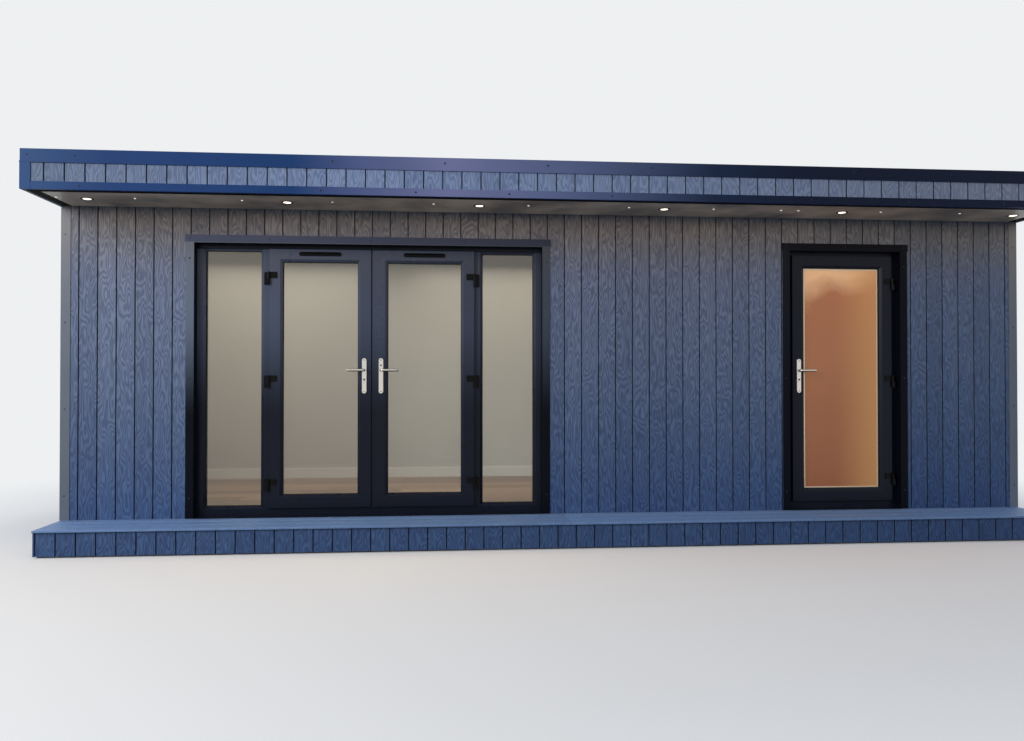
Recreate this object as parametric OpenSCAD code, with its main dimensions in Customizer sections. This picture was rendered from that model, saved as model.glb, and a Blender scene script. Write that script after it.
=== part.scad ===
// Garden office pod: a flat-roofed timber building clad in composite boards, with a French door
// set between two fixed lights, a single glazed door and a full-width step along the front.
// Millimetres, Z up. The origin is on the ground under the middle of the roof.
// X runs along the front from left to right, and Y runs from the front to the back.

/* [Body] */
// Width of the building over its cladding
body_w = 7230; // [7000:10:7800]
// Depth of the building over its cladding
body_d = 2300; // [2000:10:3200]
// Thickness of a clad and lined wall
wall_t = 140; // [134:1:180]
// Height of the base, from the ground to the foot of the doors
base_h = 185; // [160:5:240]
// Height from the top of the door frames to the soffit
lintel_h = 250; // [220:5:500]
// Thickness of one cladding board
board_t = 22; // [18:1:26]
// Thickness of the finished floor
floor_t = 18; // [12:1:30]

/* [Roof] */
// How far the roof stands out over the front wall
front_over = 500; // [460:10:700]
// How far the roof stands out over each side wall
side_over = 30; // [27:1:120]
// How far the roof stands out over the back wall
back_over = 30; // [27:1:120]
// Height of the fascia, from the soffit to the roof edge
fascia_h = 265; // [220:5:320]
// Height of the face of the roof edge trim
edge_trim_h = 90; // [60:1:110]
// Height of the face of the lower fascia trim
lower_trim_h = 52; // [35:1:60]
// Width of the vertical trims on the fascia corners
fascia_post_w = 66; // [50:1:90]
// Thickness of the folded trims
trim_t = 4; // [3:0.5:6]
// How far the hem of the roof edge trim stands out from its face
hem = 3; // [2:0.5:5]
// Fall of the roof from front to back
roof_fall = 35; // [20:1:50]
// Width of the kerb round the roof
kerb_w = 45; // [35:1:80]
// Height of the kerb above the roof at the front
kerb_h = 28; // [20:1:40]
// Thickness of the roof membrane
membrane_t = 3; // [2:0.5:5]
// Thickness of the soffit panel
soffit_t = 12; // [9:1:18]
// Number of downlights in the soffit
downlight_n = 6; // [4:1:8]
// Distance from the left end of the building to the first downlight
downlight_start = 276; // [150:1:400]
// Distance from the last downlight to the right end of the building
downlight_end = 200; // [150:1:400]
// Outer diameter of a downlight
downlight_d = 86; // [70:1:100]
// Diameter of the lens of a downlight
downlight_lens_d = 56; // [40:1:64]

/* [Step] */
// How far the step stands out from the front wall
step_d = 390; // [350:5:440]
// Thickness of the step boards
tread_t = 14; // [12:1:22]
// How far the step boards stand out past the skirt
nosing = 16; // [10:1:25]

/* [Door set] */
// Left edge of the French door set, from the left end of the building
french_x = 920; // [850:5:1000]
// Width of the French door set over its frame
french_w = 2540; // [2440:10:2700]
// Width of the left fixed light with its posts
light_w = 520; // [460:5:580]
// Width of the right fixed light with its posts
right_light_w = 508; // [456:2:568]
// Left edge of the single door, from the left end of the building
single_x = 5380; // [5300:5:5500]
// Width of the single door over its frame
single_w = 890; // [850:5:1000]
// Height of the door frames
frame_h = 2000; // [1950:5:2100]
// Depth of the door frames
frame_d = 70; // [60:1:74]
// Width of the outer frame beside a fixed light
jamb_w = 60; // [55:1:75]
// Height of the head of the frame
head_h = 45; // [40:1:60]
// Height of the sill of the frame
sill_h = 72; // [65:1:90]
// Width of the outer frame that shows beside the single door's leaf
single_jamb = 40; // [40:1:60]
// Width of a folded trim round a doorway
door_trim_w = 54; // [45:1:70]
// Gap between a door frame and the wall round it
fitting_gap = 3; // [2:1:8]

/* [Leaves] */
// Width of the face of a leaf, from its edge to the glass
sash_w = 98; // [94:1:110]
// How far the face of a leaf stands out from its frame
sash_proud = 24; // [22:1:28]
// Depth of a leaf
sash_d = 70; // [66:1:72]
// How far a leaf laps over its frame
sash_lap = 15; // [12:1:18]
// Running gap between a leaf and its frame
leaf_gap = 5; // [5:0.5:6]
// Gap between the two French leaves
meeting_gap = 7; // [6.5:0.5:9]
// Height from the foot of the frame to the foot of a leaf
leaf_foot = 57; // [52:1:62]
// Height from the top of a leaf to the top of the frame
leaf_head = 26; // [24:1:30]
// Thickness of a sealed glass unit
glass_t = 24; // [20:1:26]
// Depth of the glazing bead in front of the glass
bead_d = 26; // [24:1:28]
// Width of the slope on a glazing bead
bead_slope = 17; // [12:1:20]

/* [Hinges and handles] */
// Distance from the face of a leaf to its hinge pins
pin_off = 12; // [11:0.5:13]
// Diameter of a hinge knuckle
knuckle_d = 18; // [14:0.5:20]
// Diameter of a hinge pin
pin_d = 8; // [6:0.5:9]
// Height of a hinge over both knuckles
hinge_h = 92; // [80:1:110]
// Clearance between a pin and what turns on it
pin_gap = 0.4; // [0.3:0.05:0.6]
// Height of the door handle above the foot of the frame
handle_z = 1075; // [1000:5:1110]
// Distance from the edge of a leaf to the handle
backset = 51; // [48:1:60]
// Height of a handle plate
plate_h = 265; // [225:1:275]
// Width of a handle plate
plate_w = 34; // [30:1:38]
// Thickness of a handle plate
plate_t = 9; // [8:0.5:12]
// Length of a lever from its spindle
lever_l = 126; // [110:1:140]
// Diameter of a lever
lever_d = 19; // [17:0.5:20]
// Height of the lock cylinder below the lever
cylinder_drop = 70; // [66:1:94]

/* [Hidden] */
$fn = 48;
// A cut runs this far past the faces that it opens
cut = 1;

// Colours
board_colour = "#6b7282";
trim_colour = "#2f3a4f";
frame_colour = "#15171c";
glass_colour = "#9fb3bd";
amber_colour = "#c07a3c";
metal_colour = "#c9c6bf";
soffit_colour = "#544c46";
tread_colour = "#6d86b0";
white_colour = "#e6e4df";
timber_colour = "#9c7b55";

// Levels and faces of the building
roof_d = front_over + body_d + back_over;
roof_w = body_w + 2 * side_over;
front_y = front_over - roof_d / 2;
back_y = front_y + body_d;
left_x = -body_w / 2;
right_x = body_w / 2;
soffit_z = base_h + frame_h + lintel_h;
wall_top = soffit_z + soffit_t;
roof_z = soffit_z + fascia_h;
core_x = roof_w / 2 - trim_t - board_t;
core_front = -roof_d / 2 + trim_t + board_t;
core_back = roof_d / 2 - trim_t - board_t;
core_top = roof_z - trim_t;
deck_front = core_top - kerb_h;
deck_back = deck_front - roof_fall;
lining_y = front_y + wall_t;

// Faces of the door frames and leaves
frame_y = lining_y - frame_d;
face_y = frame_y - sash_proud;
pin_y = face_y - pin_off;
frame_z = base_h;
frame_top = frame_z + frame_h;
opening_top = frame_top + fitting_gap;
french_l = left_x + french_x;
french_r = french_l + french_w;
single_l = left_x + single_x;
single_r = single_l + single_w;
leaf_z = frame_z + leaf_foot;
leaf_h = frame_h - leaf_foot - leaf_head;
french_pin_l = french_l + light_w;
french_pin_r = french_r - right_light_w;
strip_w = 14;
leaf_w = (french_pin_r - french_pin_l - meeting_gap - strip_w) / 2;
single_leaf_w = single_w - 2 * single_jamb;
single_pin = single_r - single_jamb;
flange_t = sash_proud - leaf_gap;
body_inset = sash_lap + leaf_gap;
glass_y = face_y + bead_d;
bead_rise = 14;
glass_bite = 11;
rebate = 12;
spindle_z = frame_z + handle_z;
hinge_foot = 170;
hinge_head = 222;
hinge_zs = [
    leaf_z + hinge_foot,
    leaf_z + (leaf_h + hinge_foot - hinge_head) / 2,
    leaf_z + leaf_h - hinge_head];

// A box between two corners
module block(a, b) {
    translate(a)
        cube(b - a);
}

// A closed profile of half widths is drawn on both sides of a centre line, along the depth.
// Each point is [inset from the edge, depth], and w is the size over the edges.
module both_sides(points, w) {
    n = len(points);
    polygon(concat(
        [for (p = points) [p[0], p[1]]],
        [for (i = [n - 1:-1:0]) [w - points[i][0], points[i][1]]]));
}

// A rectangular form whose four sides all follow one profile, mitred at its corners.
// It stands on its lower left corner, with its depth along Y.
module mitred_form(points, w, h) {
    intersection() {
        linear_extrude(height = h)
            both_sides(points, w);
        translate([w, 0, 0])
            rotate([0, -90, 0])
                linear_extrude(height = w)
                    both_sides(points, h);
    }
}

// Base and floor

module base_slab() {
    color(timber_colour)
        block([left_x + board_t, front_y, 0], [right_x - board_t, back_y - board_t, base_h]);
}

module floor_deck() {
    color(timber_colour)
        block([left_x + wall_t, lining_y, base_h], [right_x - wall_t, back_y - wall_t, base_h + floor_t]);
}

skirt_lift = 10;

// Boards that close the sides and back of the base, under the cladding
module base_skirt() {
    color(board_colour)
        difference() {
            block([left_x, front_y, skirt_lift], [right_x, back_y, base_h]);
            block([left_x + board_t, front_y - cut, skirt_lift - cut],
                [right_x - board_t, back_y - board_t, base_h + cut]);
        }
}

// Step

step_front = front_y - step_d;
joist_t = 45;
joist_bays = 16;
step_l = left_x + board_t;
step_r = right_x - board_t;
step_inner = step_front + nosing + board_t;
joist_h = base_h - tread_t;

// Two timber rails along the step, one against the building and one behind the skirt
module step_rails() {
    color(timber_colour) {
        block([step_l, step_inner, 0], [step_r, step_inner + joist_t, joist_h]);
        block([step_l, front_y - joist_t, 0], [step_r, front_y, joist_h]);
    }
}

// Short joists between the rails
module step_joists() {
    run = (step_r - step_l - joist_t) / joist_bays;
    color(timber_colour)
        for (i = [0:joist_bays])
            translate([step_l + run * i, 0, 0])
                block([0, step_inner + joist_t, 0], [joist_t, front_y - joist_t, joist_h]);
}

module step_tread() {
    color(tread_colour)
        block([left_x, step_front, joist_h], [right_x, front_y, base_h]);
}

// Upright boards that close the front and ends of the step
module step_skirt() {
    color(board_colour)
        difference() {
            block([left_x, step_front + nosing, skirt_lift], [right_x, front_y, joist_h]);
            block([step_l, step_inner, skirt_lift - cut], [step_r, front_y + cut, joist_h + cut]);
        }
}

// Walls

module front_wall(x0, x1, z0) {
    color(board_colour)
        block([x0, front_y, z0], [x1, lining_y, wall_top]);
}

module front_wall_left() {
    front_wall(left_x, french_l - fitting_gap, base_h);
}

module front_wall_middle() {
    front_wall(french_r + fitting_gap, single_l - fitting_gap, base_h);
}

module front_wall_right() {
    front_wall(single_r + fitting_gap, right_x, base_h);
}

module front_wall_over_french() {
    front_wall(french_l - fitting_gap, french_r + fitting_gap, opening_top);
}

module front_wall_over_door() {
    front_wall(single_l - fitting_gap, single_r + fitting_gap, opening_top);
}

module left_wall() {
    color(board_colour)
        block([left_x, lining_y, base_h], [left_x + wall_t, back_y - wall_t, wall_top]);
}

module right_wall() {
    color(board_colour)
        block([right_x - wall_t, lining_y, base_h], [right_x, back_y - wall_t, wall_top]);
}

module back_wall() {
    color(board_colour)
        block([left_x, back_y - wall_t, base_h], [right_x, back_y, wall_top]);
}

corner_trim_w = 62;

// Folded angles that cover the upright corners of the cladding
module corner_trims() {
    color(trim_colour)
        for (sx = [-1, 1], sy = [-1, 1]) {
            foot = sy < 0 ? base_h : skirt_lift;
            y_face = sy < 0 ? front_y : back_y;
            translate([sx * right_x, y_face, foot])
                linear_extrude(height = soffit_z - foot)
                    polygon([
                        [sx * trim_t, sy * trim_t],
                        [sx * trim_t, -sy * corner_trim_w],
                        [0, -sy * corner_trim_w],
                        [0, 0],
                        [-sx * corner_trim_w, 0],
                        [-sx * corner_trim_w, sy * trim_t]]);
        }
}

head_lap = 6;
head_proud = 1.5;

// The folded trim round one doorway: a face on the cladding, a head piece that laps over the
// side pieces, and a return back to the frame. x0 and x1 are the sides of the frame.
module doorway_trim(x0, x1) {
    color(trim_colour)
        difference() {
            union() {
                block([x0 - fitting_gap - door_trim_w, front_y - trim_t, base_h],
                    [x1 + fitting_gap + door_trim_w, front_y, opening_top + door_trim_w]);
                block([x0 - fitting_gap - door_trim_w - head_lap, front_y - trim_t - head_proud, opening_top],
                    [x1 + fitting_gap + door_trim_w + head_lap, front_y, opening_top + door_trim_w]);
                block([x0 - fitting_gap, front_y - trim_t, base_h], [x1 + fitting_gap, frame_y, opening_top]);
            }
            block([x0, front_y - trim_t - cut, base_h - cut], [x1, frame_y + cut, frame_top]);
        }
}

module door_trims() {
    doorway_trim(french_l, french_r);
    doorway_trim(single_l, single_r);
}

sill_t = 5;
sill_nose = 14;

// A folded sill in front of each door frame, with a short nose over the step
module door_sills() {
    color(frame_colour)
        for (x = [[french_l, french_r], [single_l, single_r]])
            block([x[0], front_y - sill_nose, base_h], [x[1], frame_y, base_h + sill_t]);
}

skirting_h = 95;
skirting_t = 15;

// Painted board round the foot of the back and side walls inside
module skirting_board() {
    z = base_h + floor_t;
    color(white_colour)
        difference() {
            block([left_x + wall_t, lining_y, z], [right_x - wall_t, back_y - wall_t, z + skirting_h]);
            block([left_x + wall_t + skirting_t, lining_y - cut, z - cut],
                [right_x - wall_t - skirting_t, back_y - wall_t - skirting_t, z + skirting_h + cut]);
        }
}

// Roof

// Insulated roof with a fall to the back and a kerb along its front and sides
module roof_core() {
    color(white_colour)
        difference() {
            block([-core_x, core_front, wall_top], [core_x, core_back, core_top]);
            translate([-core_x + kerb_w, 0, 0])
                rotate([90, 0, 90])
                    linear_extrude(height = 2 * (core_x - kerb_w))
                        polygon([
                            [core_front + kerb_w, deck_front],
                            [core_back, deck_back],
                            [core_back + cut, deck_back],
                            [core_back + cut, core_top + cut],
                            [core_front + kerb_w, core_top + cut]]);
        }
}

module roof_membrane() {
    color("#3c3f43")
        translate([-core_x + kerb_w, 0, 0])
            rotate([90, 0, 90])
                linear_extrude(height = 2 * (core_x - kerb_w))
                    polygon([
                        [core_front + kerb_w, deck_front],
                        [core_back, deck_back],
                        [core_back, deck_back + membrane_t],
                        [core_front + kerb_w, deck_front + membrane_t]]);
}

// A ring round the roof, between two distances in from the roof's outer face
module roof_ring(outer, inner, z0, z1) {
    difference() {
        block([-roof_w / 2 + outer, -roof_d / 2 + outer, z0], [roof_w / 2 - outer, roof_d / 2 - outer, z1]);
        block([-roof_w / 2 + inner, -roof_d / 2 + inner, z0 - cut],
            [roof_w / 2 - inner, roof_d / 2 - inner, z1 + cut]);
    }
}

hem_h = 9;

// Folded trim over the roof edge: a face outside with a hem at its foot, and a top over the kerb
module roof_edge_trim() {
    color(trim_colour) {
        roof_ring(0, trim_t, roof_z - edge_trim_h, roof_z);
        roof_ring(-hem, trim_t, roof_z - edge_trim_h, roof_z - edge_trim_h + hem_h);
        roof_ring(0, trim_t + board_t + kerb_w, core_top, roof_z);
    }
}

module fascia_boards() {
    color(board_colour)
        roof_ring(trim_t, trim_t + board_t, soffit_z + trim_t, core_top);
}

post_proud = 1.5;

// Folded trim under the fascia, with upright pieces on the corners that stand over its face
module fascia_lower_trim() {
    color(trim_colour) {
        roof_ring(0, trim_t, soffit_z, soffit_z + lower_trim_h);
        roof_ring(0, trim_t + board_t, soffit_z, soffit_z + trim_t);
        intersection() {
            roof_ring(-post_proud, trim_t, soffit_z, roof_z - edge_trim_h);
            for (sx = [-1, 1], sy = [-1, 1])
                translate([sx * roof_w / 2, sy * roof_d / 2, soffit_z])
                    linear_extrude(height = fascia_h)
                        square(2 * fascia_post_w, center = true);
        }
    }
}

downlight_y = front_y - front_over / 2 + trim_t + board_t / 2;
downlight_gap = (body_w - downlight_start - downlight_end) / (downlight_n - 1);
downlight_x = left_x + downlight_start;
can_t = 4;
lamp_gap = 1;
lens_dish = 3;
rim_t = 3;
rim_bevel = 2;

module soffit_panel() {
    color(soffit_colour)
        difference() {
            block([-core_x, core_front, soffit_z], [core_x, front_y, wall_top]);
            for (i = [0:downlight_n - 1])
                translate([downlight_x + i * downlight_gap, downlight_y, soffit_z - cut])
                    cylinder(h = soffit_t + 2 * cut, d = downlight_lens_d + 2 * can_t + lamp_gap);
        }
}

// Recessed lamps: a flange under the soffit, a body in its hole and a lens
module downlights() {
    color("#2b2b2b")
        for (i = [0:downlight_n - 1])
            translate([downlight_x + i * downlight_gap, downlight_y, soffit_z])
                rotate_extrude()
                    polygon([
                        [0, lens_dish],
                        [downlight_lens_d / 2, 0],
                        [downlight_lens_d / 2, -rim_t + rim_bevel / 2],
                        [downlight_d / 2 - 2 * rim_bevel, -rim_t],
                        [downlight_d / 2, -rim_t + rim_bevel],
                        [downlight_d / 2, 0],
                        [downlight_lens_d / 2 + can_t, 0],
                        [downlight_lens_d / 2 + can_t, soffit_t],
                        [0, soffit_t]]);
}

// Door frames

// The opening of a fixed light through its frame: a sloped bead, a rebate for the glass and
// a sloped bead inside
function light_profile() = [
    [-bead_slope, -cut],
    [-bead_slope, 0],
    [-cut, bead_rise],
    [0, bead_rise],
    [0, bead_d],
    [-rebate, bead_d],
    [-rebate, bead_d + glass_t],
    [0, bead_d + glass_t],
    [0, frame_d + cut]];

module light_opening(w, h) {
    translate([-bead_slope, 0, -bead_slope])
        mitred_form([for (p = light_profile()) [p[0] + bead_slope, p[1]]],
            w + 2 * bead_slope, h + 2 * bead_slope);
}

light_z = frame_z + sill_h;
light_h = frame_h - sill_h - head_h;
light_glass_w = light_w - 2 * jamb_w;
right_glass_w = right_light_w - 2 * jamb_w;

module french_frame() {
    color(frame_colour)
        difference() {
            block([french_l, frame_y, frame_z], [french_r, lining_y, frame_top]);
            translate([french_l + jamb_w, frame_y, light_z])
                light_opening(light_glass_w, light_h);
            translate([french_r - jamb_w - right_glass_w, frame_y, light_z])
                light_opening(right_glass_w, light_h);
            block([french_pin_l + sash_lap, frame_y - cut, leaf_z + sash_lap],
                [french_pin_r - sash_lap, lining_y + cut, leaf_z + leaf_h - sash_lap]);
        }
}

module light_glass(x, w) {
    color(glass_colour, 0.5)
        block([x - glass_bite, frame_y + bead_d, light_z - glass_bite],
            [x + w + glass_bite, frame_y + bead_d + glass_t, light_z + light_h + glass_bite]);
}

module sidelight_glass() {
    light_glass(french_l + jamb_w, light_glass_w);
    light_glass(french_r - jamb_w - right_glass_w, right_glass_w);
}

module single_frame() {
    color(frame_colour)
        difference() {
            block([single_l, frame_y, frame_z], [single_r, lining_y, frame_top]);
            block([single_l + single_jamb + sash_lap, frame_y - cut, leaf_z + sash_lap],
                [single_pin - sash_lap, lining_y + cut, leaf_z + leaf_h - sash_lap]);
        }
}

// Leaves, drawn from their lower left corner and with their face at Y = 0

edge_bevel = 3;
back_bevel = 8;

function sash_outside() = [
    [edge_bevel, 0],
    [0, edge_bevel],
    [0, flange_t],
    [body_inset, flange_t],
    [body_inset, sash_d]];

function sash_inside() = [
    [sash_w - bead_slope, -cut],
    [sash_w - bead_slope, 0],
    [sash_w, bead_rise],
    [sash_w, bead_d],
    [sash_w - rebate, bead_d],
    [sash_w - rebate, bead_d + glass_t],
    [sash_w, bead_d + glass_t],
    [sash_w, sash_d - back_bevel],
    [sash_w - back_bevel, sash_d],
    [sash_w - back_bevel, sash_d + cut]];

spindle_d = 11;
spindle_bore_d = 22;

// One leaf; handle_x is the place of its handle across the leaf
module leaf(w, handle_x) {
    color(frame_colour)
        difference() {
            mitred_form(sash_outside(), w, leaf_h);
            mitred_form(sash_inside(), w, leaf_h);
            translate([handle_x, -cut, spindle_z - leaf_z])
                rotate([-90, 0, 0])
                    cylinder(h = sash_d + 2 * cut, d = spindle_bore_d);
        }
}

module leaf_glass(w, tint) {
    inset = sash_w - glass_bite;
    color(tint, 0.5)
        block([inset, bead_d, inset], [w - inset, bead_d + glass_t, leaf_h - inset]);
}

neck_d = 16;

plate_top = 90;
plate_bevel = 2;
cylinder_proud = 4;
barrel_d = 17;
barrel_tail_w = 10;
barrel_drop = 16;

boss_d = 26;
boss_t = 3;

// One handle plate with round ends, a softened face and a boss round the lever's neck, its back
// at Y = 0. A keyed plate has the end of the lock cylinder standing out of it.
module handle_plate(keyed) {
    r = plate_w / 2;
    rotate([90, 0, 0])
        difference() {
            union() {
                for (z = [plate_top - r, plate_top - plate_h + r])
                    translate([0, z, 0]) {
                        cylinder(h = plate_t - plate_bevel, r = r);
                        translate([0, 0, plate_t - plate_bevel])
                            cylinder(h = plate_bevel, r1 = r, r2 = r - plate_bevel);
                    }
                translate([0, plate_top - plate_h + r, 0])
                    rotate([-90, 0, 0])
                        linear_extrude(height = plate_h - plate_w)
                            polygon([
                                [-r, 0],
                                [r, 0],
                                [r, -plate_t + plate_bevel],
                                [r - plate_bevel, -plate_t],
                                [-r + plate_bevel, -plate_t],
                                [-r, -plate_t + plate_bevel]]);
                cylinder(h = plate_t + boss_t, d = boss_d);
                if (keyed)
                    translate([0, -cylinder_drop, 0])
                        euro_cylinder(plate_t + cylinder_proud);
            }
            translate([0, 0, -cut])
                cylinder(h = plate_t + boss_t + 2 * cut, d = neck_d + 2 * pin_gap);
        }
}

// The keyhole shape of a lock cylinder: a round barrel over a narrower tail
module euro_cylinder(h) {
    cylinder(h = h, d = barrel_d);
    translate([-barrel_tail_w / 2, -barrel_drop, 0])
        cube([barrel_tail_w, barrel_drop, h]);
    translate([0, -barrel_drop, 0])
        cylinder(h = h, d = barrel_tail_w);
}

// Plates on both sides of a leaf
module plates(handle_x, keyed) {
    color(metal_colour)
        translate([handle_x, 0, spindle_z - leaf_z]) {
            handle_plate(keyed);
            translate([0, sash_d, 0])
                mirror([0, 1, 0])
                    handle_plate(keyed);
        }
}

lever_reach = 52;
lever_bend = 16;

// A lever outside and inside on one spindle; side is -1 for levers that point to -X
module lever_pair(handle_x, side) {
    color(metal_colour)
        translate([handle_x, 0, spindle_z - leaf_z])
            mirror([side < 0 ? 1 : 0, 0, 0]) {
                rotate([-90, 0, 0])
                    cylinder(h = sash_d, d = spindle_d);
                lever_arm();
                translate([0, sash_d, 0])
                    mirror([0, 1, 0])
                        lever_arm();
            }
}

// One lever, from the leaf's face at Y = 0: a neck, a bend, a straight grip and a round end
module lever_arm() {
    grip_y = -lever_reach + lever_d / 2;
    grip_end = lever_l - lever_d / 2;
    translate([0, grip_y + lever_bend, 0])
        rotate([-90, 0, 0])
            cylinder(h = -grip_y - lever_bend + pin_gap, d = neck_d);
    translate([lever_bend, grip_y + lever_bend, 0])
        rotate([0, 0, 180])
            rotate_extrude(angle = 90)
                translate([lever_bend, 0])
                    circle(d = lever_d);
    translate([lever_bend, grip_y, 0])
        rotate([0, 90, 0])
            cylinder(h = grip_end - lever_bend, d = lever_d);
    translate([grip_end, grip_y, 0])
        sphere(d = lever_d);
}

vent_w = 310;
vent_h = 30;
vent_t = 4;
hood_h = 15;
hood_t = 8;

// A trickle vent on the top rail of a leaf: a plate with round ends and a hood over its slot
module vent(w) {
    r = vent_h / 2;
    color("#0b0c0f")
        translate([(w - vent_w) / 2, 0, leaf_h - (sash_w - bead_slope) / 2 - r]) {
            block([r, -vent_t, 0], [vent_w - r, 0, vent_h]);
            for (x = [r, vent_w - r])
                translate([x, 0, r])
                    rotate([90, 0, 0])
                        cylinder(h = vent_t, r = r);
            translate([r, -vent_t, vent_h - hood_h - vent_t])
                rotate([90, 0, 90])
                    linear_extrude(height = vent_w - vent_h)
                        polygon([
                            [0, 0],
                            [0, hood_h],
                            [-hood_t / 2, hood_h],
                            [-hood_t, hood_h / 3],
                            [-hood_t, 0]]);
        }
}

// Hinges. The pin's axis is at X = 0, and side is 1 where the leaf lies to +X of it.

hinge_plate_t = 5;
flag_w = 60;
knuckle_gap = 1;

// The flag screwed to the leaf, with the upper knuckle, which turns on the pin
module hinge_flag(side) {
    knuckle_h = (hinge_h - knuckle_gap) / 2;
    translate([0, 0, knuckle_gap / 2])
        difference() {
            union() {
                cylinder(h = knuckle_h, d = knuckle_d);
                block([side > 0 ? 0 : -flag_w, pin_off - hinge_plate_t, 0],
                    [side > 0 ? flag_w : 0, pin_off, knuckle_h]);
                block([side > 0 ? 0 : -knuckle_d / 2, 0, 0],
                    [side > 0 ? knuckle_d / 2 : 0, pin_off, knuckle_h]);
            }
            translate([0, 0, -cut])
                cylinder(h = knuckle_h + 2 * cut, d = pin_d + 2 * pin_gap);
        }
}

base_w = 38;

// The bracket screwed to the frame, with the lower knuckle and the pin
module hinge_base(side) {
    knuckle_h = (hinge_h - knuckle_gap) / 2;
    reach = pin_off + sash_proud;
    inner = knuckle_d / 2;
    translate([0, 0, -hinge_h / 2]) {
        cylinder(h = knuckle_h, d = knuckle_d);
        cylinder(h = hinge_h, d = pin_d);
        block([side > 0 ? -inner : 0, -inner, 0], [side > 0 ? 0 : inner, inner, knuckle_h]);
        block([side > 0 ? -inner - hinge_plate_t : inner, -inner, 0],
            [side > 0 ? -inner : inner + hinge_plate_t, reach, knuckle_h]);
        block([side > 0 ? -base_w : inner, reach - hinge_plate_t, 0],
            [side > 0 ? -inner : base_w, reach, hinge_h]);
    }
}

module hinge_bases() {
    color(frame_colour)
        for (z = hinge_zs) {
            translate([french_pin_l, pin_y, z])
                hinge_base(1);
            translate([french_pin_r, pin_y, z])
                hinge_base(-1);
            translate([single_pin, pin_y, z])
                hinge_base(-1);
        }
}

module leaf_hinges(x, side) {
    color(frame_colour)
        for (z = hinge_zs)
            translate([x, pin_y, z])
                hinge_flag(side);
}

// Places a leaf's own frame: its left edge and foot, at the face of the leaves
module at_leaf(x) {
    translate([x, face_y, leaf_z])
        children();
}

french_right_x = french_pin_r - leaf_w;
single_leaf_x = single_pin - single_leaf_w;

module french_left_leaf() {
    at_leaf(french_pin_l)
        leaf(leaf_w, leaf_w - backset);
}

module french_left_glass() {
    at_leaf(french_pin_l)
        leaf_glass(leaf_w, glass_colour);
}

module french_left_hinges() {
    leaf_hinges(french_pin_l, 1);
}

module french_left_plates() {
    at_leaf(french_pin_l)
        plates(leaf_w - backset, true);
}

module french_left_lever() {
    at_leaf(french_pin_l)
        lever_pair(leaf_w - backset, -1);
}

module french_left_vent() {
    at_leaf(french_pin_l)
        vent(leaf_w);
}

// The right French leaf, with the meeting strip on its edge that the left one shuts against
module french_right_leaf() {
    at_leaf(french_right_x) {
        leaf(leaf_w, backset);
        color(frame_colour)
            block([-strip_w, edge_bevel, 0], [0, flange_t, leaf_h]);
    }
}

module french_right_glass() {
    at_leaf(french_right_x)
        leaf_glass(leaf_w, glass_colour);
}

module french_right_hinges() {
    leaf_hinges(french_pin_r, -1);
}

module french_right_plates() {
    at_leaf(french_right_x)
        plates(backset, false);
}

module french_right_lever() {
    at_leaf(french_right_x)
        lever_pair(backset, 1);
}

module french_right_vent() {
    at_leaf(french_right_x)
        vent(leaf_w);
}

module single_leaf() {
    at_leaf(single_leaf_x)
        leaf(single_leaf_w, backset);
}

module single_glass() {
    at_leaf(single_leaf_x)
        leaf_glass(single_leaf_w, amber_colour);
}

module single_hinges() {
    leaf_hinges(single_pin, -1);
}

module single_plates() {
    at_leaf(single_leaf_x)
        plates(backset, true);
}

module single_lever() {
    at_leaf(single_leaf_x)
        lever_pair(backset, 1);
}

base_slab();
floor_deck();
base_skirt();
step_rails();
step_joists();
step_tread();
step_skirt();
front_wall_left();
front_wall_middle();
front_wall_right();
front_wall_over_french();
front_wall_over_door();
left_wall();
right_wall();
back_wall();
corner_trims();
door_trims();
door_sills();
roof_core();
roof_membrane();
roof_edge_trim();
fascia_boards();
fascia_lower_trim();
soffit_panel();
downlights();
skirting_board();
french_frame();
sidelight_glass();
single_frame();
hinge_bases();
french_left_leaf();
french_left_glass();
french_left_hinges();
french_left_plates();
french_left_lever();
french_left_vent();
french_right_leaf();
french_right_glass();
french_right_hinges();
french_right_plates();
french_right_lever();
french_right_vent();
single_leaf();
single_glass();
single_hinges();
single_plates();
single_lever();
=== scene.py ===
"""Dresses the garden office pod: boards, trims, glass, fittings and finishes over its CAD frame."""

import logging
import math
import random
from collections.abc import Callable, Sequence
from dataclasses import dataclass, field
from enum import Enum
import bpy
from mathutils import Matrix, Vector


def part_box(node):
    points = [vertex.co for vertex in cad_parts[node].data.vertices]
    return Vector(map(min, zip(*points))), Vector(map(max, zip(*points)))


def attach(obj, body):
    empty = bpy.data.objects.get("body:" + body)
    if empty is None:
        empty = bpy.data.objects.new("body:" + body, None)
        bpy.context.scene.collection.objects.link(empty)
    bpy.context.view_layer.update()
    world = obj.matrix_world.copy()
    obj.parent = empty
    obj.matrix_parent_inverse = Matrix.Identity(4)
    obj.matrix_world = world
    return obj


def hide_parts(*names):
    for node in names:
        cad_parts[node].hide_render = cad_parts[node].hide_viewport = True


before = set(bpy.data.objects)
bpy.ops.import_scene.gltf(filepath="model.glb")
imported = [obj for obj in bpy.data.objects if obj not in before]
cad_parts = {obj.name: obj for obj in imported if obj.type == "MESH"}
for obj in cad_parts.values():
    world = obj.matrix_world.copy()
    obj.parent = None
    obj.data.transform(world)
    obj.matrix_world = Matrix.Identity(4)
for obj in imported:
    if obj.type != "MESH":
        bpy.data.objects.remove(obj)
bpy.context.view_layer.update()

from fnmatch import fnmatch
from functools import partial

import bmesh
import bpy
from mathutils import Matrix, Vector

LOG = logging.getLogger("garden_pod")
MM = 0.001
WHITE = "#ffffff"
Point = tuple[float, float, float]
Object = bpy.types.Object
Socket = bpy.types.NodeSocket
Adder = Callable[..., Socket]
Inputs = dict[str | int, object]

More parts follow.
